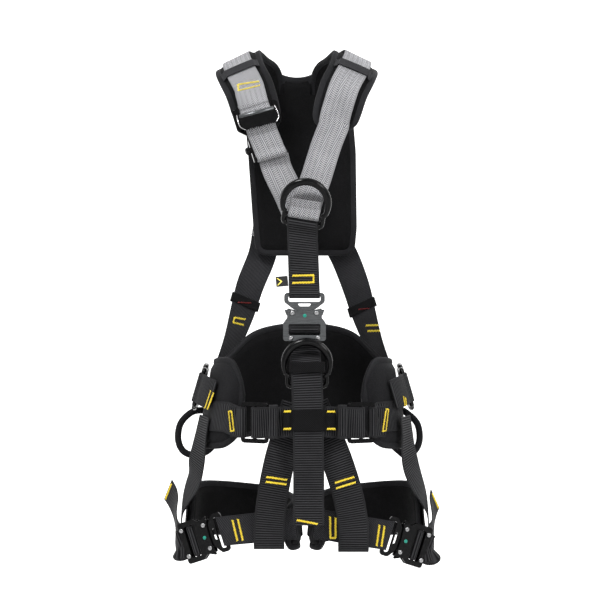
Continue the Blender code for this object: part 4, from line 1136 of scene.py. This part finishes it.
def build_hips(m):
    for side, way in SIDES:
        def at(x, y, z):
            return Vector((WAIST_X + way * x, y, z))

        bar = at(0.1570, -0.120, -0.3065)
        axis = Vector((way * -0.28, 0, 0.96)).normalized() * way
        place = ring_matrix(bar, axis, Vector((0, 1, 0.03)).normalized())
        ring_piece(f"side_ring_{side}", m["dark"], place)
        loop_band(f"side_loop_{side}", bar, at(0.1350, -0.1700, -0.3150), axis, axis, m["rib"],
                  bow=0.004)

        # From behind the yoke to the hip
        level = YOKE_THICK + 3 * GAP + 2.5 * WEB_THICK + 0.0006
        yoke = placed([(0.0470, level, -0.0560, 0, 1, 0)], YOKE_X, way)
        yoke += placed([(0.0645, level, -0.1020, 0.1, 0.99, 0),
                        (0.0830, 0.0060, -0.1500, 0.3, 0.95, 0),
                        (0.0960, -0.0070, -0.1950, 0.55, 0.83, 0),
                        (0.1120, -0.0330, -0.2450, 0.8, 0.6, 0.1),
                        (0.1280, -0.0550, -0.2900, 0.82, 0.54, 0.2),
                        (0.1365, -0.0640, -0.3160, 0.82, 0.54, 0.2)], WAIST_X, way)
        parts = band(f"yoke_strap_{side}", run(yoke), m["twill"], ribs=False)
        keeper_on(f"yoke_keeper_{side}", parts, -0.1780 if side == "r" else -0.1850, m["elastic"])

        reach = 0.1925 if side == "r" else 0.1800
        # Both ends go on into the pad, where they are sewn in
        loop = [at(0.1285, -0.0478, -0.3525), at(0.1340, -0.0430, -0.3520),
                at(0.1480, -0.0470, -0.3460), at(reach - 0.022, -0.0560, -0.3470),
                at(reach - 0.004, -0.0630, -0.3640), at(reach, -0.0660, -0.3880),
                at(reach - 0.007, -0.0660, -0.4060), at(reach - 0.022, -0.0640, -0.4130),
                at(0.1500, -0.0570, -0.4090), at(0.1380, -0.0500, -0.3980),
                at(0.1335, -0.0530, -0.3900)]
        path = smooth(smooth(loop, 3), 4)
        sheath = tube(f"gear_loop_{side}_sheath", path, [GEAR_LOOP_RADIUS] * len(path),
                      sides=16, side_on=Vector((0, 1, 0)))
        add_piece(f"gear_loop_{side}_sheath", sheath, [m["tube"]], (f"gear_loop_{side}",))


# ---------------------------------------------------------------- legs
# Loose tails beside the leg buckles: x, y, z and outward normal, from the buckle to the end
LOOSE = {"r": [(0.1935, -0.1300, -0.5230, 1, -0.05, 0.1),
               (0.1955, -0.1130, -0.5060, 1, -0.05, 0.05),
               (0.1975, -0.0990, -0.4900, 0.95, -0.28, 0),
               (0.2025, -0.0880, -0.4760, 0.86, -0.50, -0.1),
               (0.2100, -0.0790, -0.4650, 0.78, -0.60, -0.18)],
         "l": [(0.1925, -0.1310, -0.5250, 1, -0.05, 0.1),
               (0.1940, -0.1160, -0.5130, 1, -0.08, 0.05),
               (0.1945, -0.1030, -0.5010, 0.97, -0.22, 0),
               (0.1960, -0.0920, -0.4890, 0.88, -0.45, -0.1),
               (0.1995, -0.0830, -0.4790, 0.78, -0.60, -0.18)]}
# The strap from the belt down over the leg webbing and up behind it: x, y, z, normal y and z
LEG_FRONT = [(0.0120, -0.2370, -0.3250, -1, 0), (0.0220, -0.2335, -0.3600, -1, 0),
             (0.0350, -0.2340, -0.4050, -1, 0), (0.0450, -0.2240, -0.4600, -1, 0.1),
             (0.0495, -0.2130, -0.5050, -1, 0), (0.0500, -0.2095, -0.5300, -0.9, -0.4),
             (0.0500, -0.2000, -0.5395, -0.1, -1), (0.0500, -0.1903, -0.5330, 0.9, -0.4),
             (0.0500, -0.1892, -0.5080, 1, 0)]


def build_legs(m):
    for side, way in SIDES:
        thigh = (LEG_X + way * THIGH_X, *THIGH)

        def at(x, y, z):
            return Vector((LEG_X + way * x, y, z))

        def face(x, y, z):
            return Vector((way * x, y, z)).normalized()

        # Angles run from the back of the thigh, positive towards its outside
        shape = [(-128, -0.5150, 0.050), (-118, -0.5140, 0.068), (-90, -0.5120, 0.078),
                 (-60, -0.5095, 0.082), (-30, -0.5060, 0.085), (0, -0.5030, 0.086),
                 (30, -0.4985, 0.086), (60, -0.4945, 0.084), (85, -0.4945, 0.074),
                 (98, -0.4970, 0.048)]
        stations = []
        for degrees, z, width in shape:
            point, normal = around(thigh, way * degrees, z, LEG_PAD_THICK / 2)
            stations.append((point, (normal + Vector((0, 0, 0.08))).normalized(), width))
        path = run(stations)
        pad_band(f"leg_pad_{side}", path, LEG_PAD_THICK, [m["pad"], m["binding"]])

        # Buckle on the front of the thigh, its tongue towards the middle
        yaw, tilt = math.radians(20), math.radians(19)
        out = face(math.sin(yaw), -math.cos(yaw), 0)
        flat = face(-math.cos(yaw), -math.sin(yaw), 0)
        up_axis = flat * math.cos(tilt) + UP * math.sin(tilt)
        centre = at(0.1590, -0.1800, -0.5320 - way * 0.0030)
        place = facing(centre, up_axis.cross(out), out)
        build_buckle_trim(f"leg_{side}", place, m)
        axis = place.to_3x3() @ Vector((1, 0, 0))
        loop_band(f"leg_front_{side}", place @ Vector((0, 0.0443, 0)),
                  at(0.0150, -0.1900, -0.5030), axis, Vector((0, 0, way)), m["twill"],
                  width=0.0440, bow=0.008)

        # Webbing round the back of the thigh to the buckle's bar, and its loose tail
        inner = run([*placed([(0.0265, -0.1889, -0.5060, 0, -1, 0),
                              (0.0155, -0.1852, -0.5060, -0.35, -0.93, 0),
                              (0.0070, -0.1720, -0.5080, -0.88, -0.48, 0)], LEG_X, way),
                     level_on(path, 0.0085, -0.5090)[4]])
        back = level_on(path, LEG_PAD_THICK / 2 + GAP + WEB_THICK / 2, -0.5090)[4:-1]
        end = buckle_wrap(place, [], [])
        outer = run([back[-1], (at(0.1845, -0.1330, -0.5330), face(0.97, -0.24, 0.1)),
                     (place @ Vector((0, -0.0380, -0.0125)), out), (end[0][0], out)])
        tail = run(placed([(0.1880, -0.1480, -0.5325, 0.96, -0.26, 0.1), *LOOSE[side]],
                          LEG_X, way), 2)
        whole = plain(inner[:-1]) + back + plain(outer[1:-1])
        band(f"leg_back_{side}", buckle_wrap(place, turned(whole), plain(tail)), m["rib"])

        # Front and side straps up to the belt
        spread = 0.003 if side == "r" else 0.021
        front = []
        for x, y, z, ny, nz in LEG_FRONT:
            share = min((-0.325 - z) / 0.16, 1)
            level = 0.0 if side == "r" or z < -0.37 else 0.0031
            drop = 0.004 if side == "l" and z < -0.52 else 0.0
            front.append((at(x + spread * share, y + level, z - drop),
                          Vector((0, ny, nz)).normalized()))
        band(f"leg_strap_{side}", run(front), m["rib"])
        clear = 0.0045 if side == "r" else 0.0
        hip = placed([(0.1502, -0.1504, -0.3480, 0.93, -0.36, 0.05),
                      (0.1530 + clear / 2, -0.1504, -0.3740, 0.91, -0.40, 0.10),
                      (0.1545 + clear, -0.1480, -0.3980, 0.85, -0.50, 0.12),
                      (0.1590 + clear, -0.1430, -0.4220, 0.78, -0.60, 0.20),
                      (0.1675, -0.1320, -0.4450, 0.80, -0.55, 0.25),
                      (0.1785, -0.1185, -0.4680, 0.90, -0.30, 0.20),
                      (0.1860, -0.1080, -0.4920, 0.99, -0.10, 0.1),
                      (0.1890, -0.1050, -0.5280, 1, -0.05, 0.1)], LEG_X, way)
        band(f"side_strap_{side}", run(hip), m["rib"])


# ---------------------------------------------------------------- sewing
def build_stitching():
    """Bar tacks and box stitches where webbing is sewn to itself or to a pad."""
    bars("shoulder_strap_r", [
        (-0.0926, 0.1470, -0.0612, 0.1514), (-0.0911, 0.1373, -0.0597, 0.1447),
        (-0.0926, 0.1470, -0.0911, 0.1373)], "pale")
    bars("chest_strap", [
        (-0.0109, -0.1389, 0.0196, -0.1381), (-0.0109, -0.1494, 0.0196, -0.1482),
        (0.0196, -0.1375, 0.0196, -0.1494)])
    bars("yoke_strap_r", [
        (-0.1030, -0.2015, -0.0864, -0.2047), (-0.1045, -0.2094, -0.0888, -0.2133),
        (-0.1030, -0.2015, -0.1047, -0.2094)])
    bars("yoke_strap_l", [(0.1037, -0.2141, 0.1218, -0.2133), (0.1061, -0.2227, 0.1242, -0.2219)])
    bars("yoke_keeper_r", [(-0.0977, -0.1779, -0.0772, -0.1787)], "red", width=0.0020)
    bars("yoke_keeper_l", [(0.0922, -0.1890, 0.1111, -0.1866)], "red", width=0.0020)
    bars("belt_webbing", [
        (-0.1047, -0.3379, -0.1014, -0.3666), (-0.1003, -0.3369, -0.0966, -0.3655),
        (-0.1047, -0.3379, -0.1003, -0.3369), (-0.1014, -0.3666, -0.0966, -0.3655),
        (0.1261, -0.3357, 0.1213, -0.3666), (0.1308, -0.3357, 0.1269, -0.3655),
        (0.1261, -0.3357, 0.1308, -0.3357), (0.1213, -0.3666, 0.1269, -0.3655)], width=0.0024)
    bars("belt_keeper", [
        (-0.0230, -0.3348, -0.0129, -0.3345), (-0.0237, -0.3598, -0.0128, -0.3595),
        (0.0390, -0.3348, 0.0504, -0.3348), (0.0390, -0.3598, 0.0511, -0.3598)])
    bars("side_loop_r", [
        (-0.1325, -0.3090, -0.1422, -0.3380), (-0.1285, -0.3120, -0.1390, -0.3405)], width=0.0024)
    bars("side_loop_l", [
        (0.1545, -0.3180, 0.1585, -0.3460), (0.1575, -0.3200, 0.1605, -0.3460)], width=0.0022)
    bars("leg_strap_r", [(-0.0488, -0.4311, -0.0189, -0.4354), (-0.0495, -0.4383, -0.0197, -0.4420)])
    bars("leg_strap_l", [(0.0510, -0.4398, 0.0786, -0.4311), (0.0524, -0.4478, 0.0808, -0.4391)])
    bars("leg_front_r", [(-0.0993, -0.4978, -0.0920, -0.5279), (-0.0912, -0.4963, -0.0839, -0.5272)])
    bars("leg_front_l", [
        (0.1170, -0.5051, 0.1126, -0.5353), (0.1244, -0.5066, 0.1199, -0.5360),
        (0.0443, -0.4927, 0.0450, -0.5237), (0.0524, -0.4942, 0.0524, -0.5237),
        (0.0450, -0.5237, 0.0524, -0.5237)])
    bars("belly_strap", [(-0.0043, -0.4915, 0.0253, -0.4973)])
    for side in "rl":
        tab_bar(f"leg_back_{side}")


def tab_bar(name):
    """A stitched bar across a loose tail, just short of its end."""
    points, side, up = RUNS[name][:3]
    k = len(points) - 5
    middle, across, out = Vector(points[k]), Vector(side[k]), Vector(up[k])
    reach = across * 0.0170
    thread(TREES[name], middle - reach, middle + reach, -out, STITCH_WIDTH, "yellow")


def finish_stitching(m):
    for colour, meshes in THREADS.items():
        mesh = merged(f"stitches_{colour}", meshes)
        add_piece(f"stitches_{colour}", mesh, [m[colour]])


def turned_cap(name, radii, levels, material, matrix, x, y):
    """A turned button standing on a plate."""
    turns = [2 * math.pi * k / 24 for k in range(24)]
    rings = [[(x + radius * math.cos(a), y + radius * math.sin(a), level) for a in turns]
             for radius, level in zip(radii, levels)]
    add_piece(name, grid_mesh(name, np.array(rings)), [material], matrix=matrix)


def build_buckle_trim(name, place, m):
    """Bright rivet heads and a coloured mark that shows that the buckle is locked."""
    face = 0.0050
    corners = [(side * x, y) for x, y in ((0.0175, 0.0175), (0.0195, -0.0187)) for side in (-1, 1)]
    for k, (x, y) in enumerate(corners):
        turned_cap(f"{name}_rivet_{k}", (0.0033, 0.0033, 0.0030, 0.0022, 0.0010),
                   [face + h for h in (0.0002, 0.0010, 0.0017, 0.0022, 0.0024)], m["bright"],
                   place, x, y)
    turned_cap(f"{name}_mark", (0.0027, 0.0027, 0.0020), [face + h for h in (0.0, 0.0003, 0.0006)],
               m["green"], place, 0.0004, 0.0137)


def build_kept_nodes(m):
    dark = ("leg_r_", "leg_l_", "belt_buckle", "shoulder_adjuster", "strap_pin")
    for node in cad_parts:
        if node.startswith("centre_"):
            keep_node(node, m["steel"])
        elif node.startswith(dark):
            keep_node(node, m["dark"])
        elif node == "dorsal_plate":
            keep_node(node, m["plastic"], 0.0006)


def build_tag(m):
    """A woven tag with an arrowhead on it, sewn into the chest strap's edge."""
    place = facing(Vector((-0.0262, -0.2362, -0.1470)), Vector((0.99, 0, 0.09)), FRONT)
    outline = fillet([(-0.0088, -0.0075, 0.0005), (0.0088, -0.0075, 0.0005),
                      (0.0088, 0.0075, 0.0005), (-0.0088, 0.0075, 0.0005)], 2)
    tag = flat_plate("chest_tag", outline, -0.0008, 0.0008, m["tag"], place, 0.0002)
    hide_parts("chest_label")
    arrow = [(-0.0075, 0.0052), (-0.0059, 0.0052), (0.0002, 0.0007), (0.0002, -0.0007),
             (-0.0059, -0.0052), (-0.0075, -0.0052), (-0.0020, 0.0)]
    flat_plate("chest_tag_mark_0", arrow, 0.0007, 0.0011, m["pale"], place, 0.0001)


def main():
    random.seed(7)
    build_stage()
    m = {
        "rib": webbing_material("black_rib", (0.002, 0.002, 0.0025), (0.046, 0.046, 0.049), "rib"),
        "twill": webbing_material("black_twill", (0.004, 0.004, 0.005), (0.048, 0.048, 0.052),
                                  "twill"),
        # The grey's wide spread from dark to light is the herringbone pattern plus painted shade and
        # highlight on its relief.
        "grey": webbing_material("grey_herringbone", (0.045, 0.045, 0.05), (0.50, 0.50, 0.515),
                                 "herringbone"),
        "elastic": webbing_material("elastic", (0.002, 0.002, 0.002), (0.010, 0.010, 0.011),
                                    "twill", 0.0001),
        "pad": cloth_material("pad_cloth", (0.002, 0.002, 0.0022), (0.008, 0.008, 0.0085)),
        "binding": cloth_material("binding", (0.006, 0.006, 0.0065), (0.022, 0.022, 0.024), 1500.0,
                                  0.0001, 0.03),
        "shell": cloth_material("pad_shell", (0.004, 0.004, 0.0045), (0.017, 0.017, 0.0185)),
        "dark": metal_material("black_coated", (0.001, 0.001, 0.0012), (0.004, 0.004, 0.0045), 0.14,
                               0.0, 0.05),
        "steel": metal_material("gunmetal", (0.045, 0.048, 0.05), (0.16, 0.165, 0.17), 0.30, 0.9),
        # Bright metal for the rivet heads, and for the wires that paint highlights along the
        # adjuster's edges.
        "bright": metal_material("bright_metal_and_edge_highlight", (0.28, 0.28, 0.285), (0.50, 0.50, 0.505), 0.25, 1.0),
        "plastic": cloth_material("moulded", (0.006, 0.006, 0.007), (0.014, 0.014, 0.015), 1200.0,
                                  0.00008, 0.0),
        "tag": plain_material("tag", (0.004, 0.004, 0.004), (0.012, 0.012, 0.013), 0.6),
        "tube": cloth_material("sheath", (0.006, 0.006, 0.007), (0.018, 0.018, 0.020), 1300.0,
                               0.0001, 0.02),
        # The yellow and pale threads get a small painted glow so they look brighter.
        "yellow": plain_material("yellow_thread", (0.80, 0.58, 0.03), (1.0, 0.80, 0.08), 0.55, 0.35),
        "pale": plain_material("pale_thread", (0.80, 0.66, 0.08), (1.0, 0.84, 0.16), 0.55, 0.35),
        "red": plain_material("red_thread", (0.22, 0.02, 0.02), (0.40, 0.05, 0.05), 0.55),
        "green": plain_material("green_mark", (0.0, 0.20, 0.14), (0.01, 0.32, 0.24), 0.35),
    }
    chest_ring = ring_matrix(Vector((0.0031, -0.2350, -0.0648)), Vector((0.988, 0, -0.156)),
                             Vector((0.151, -0.25, 0.956)))
    centre = facing(Vector((0.0065, -0.2350, -0.2104)), Vector((1, 0, 0)), FRONT)
    runs = build_yoke(m)
    build_shoulder_fronts(runs, m, chest_ring)
    build_dorsal(m)
    build_centre(m, chest_ring, centre)
    build_belt(m)
    build_hips(m)
    build_legs(m)
    build_kept_nodes(m)
    build_tag(m)
    build_buckle_trim("centre", centre, m)
    build_stitching()
    finish_stitching(m)


main()
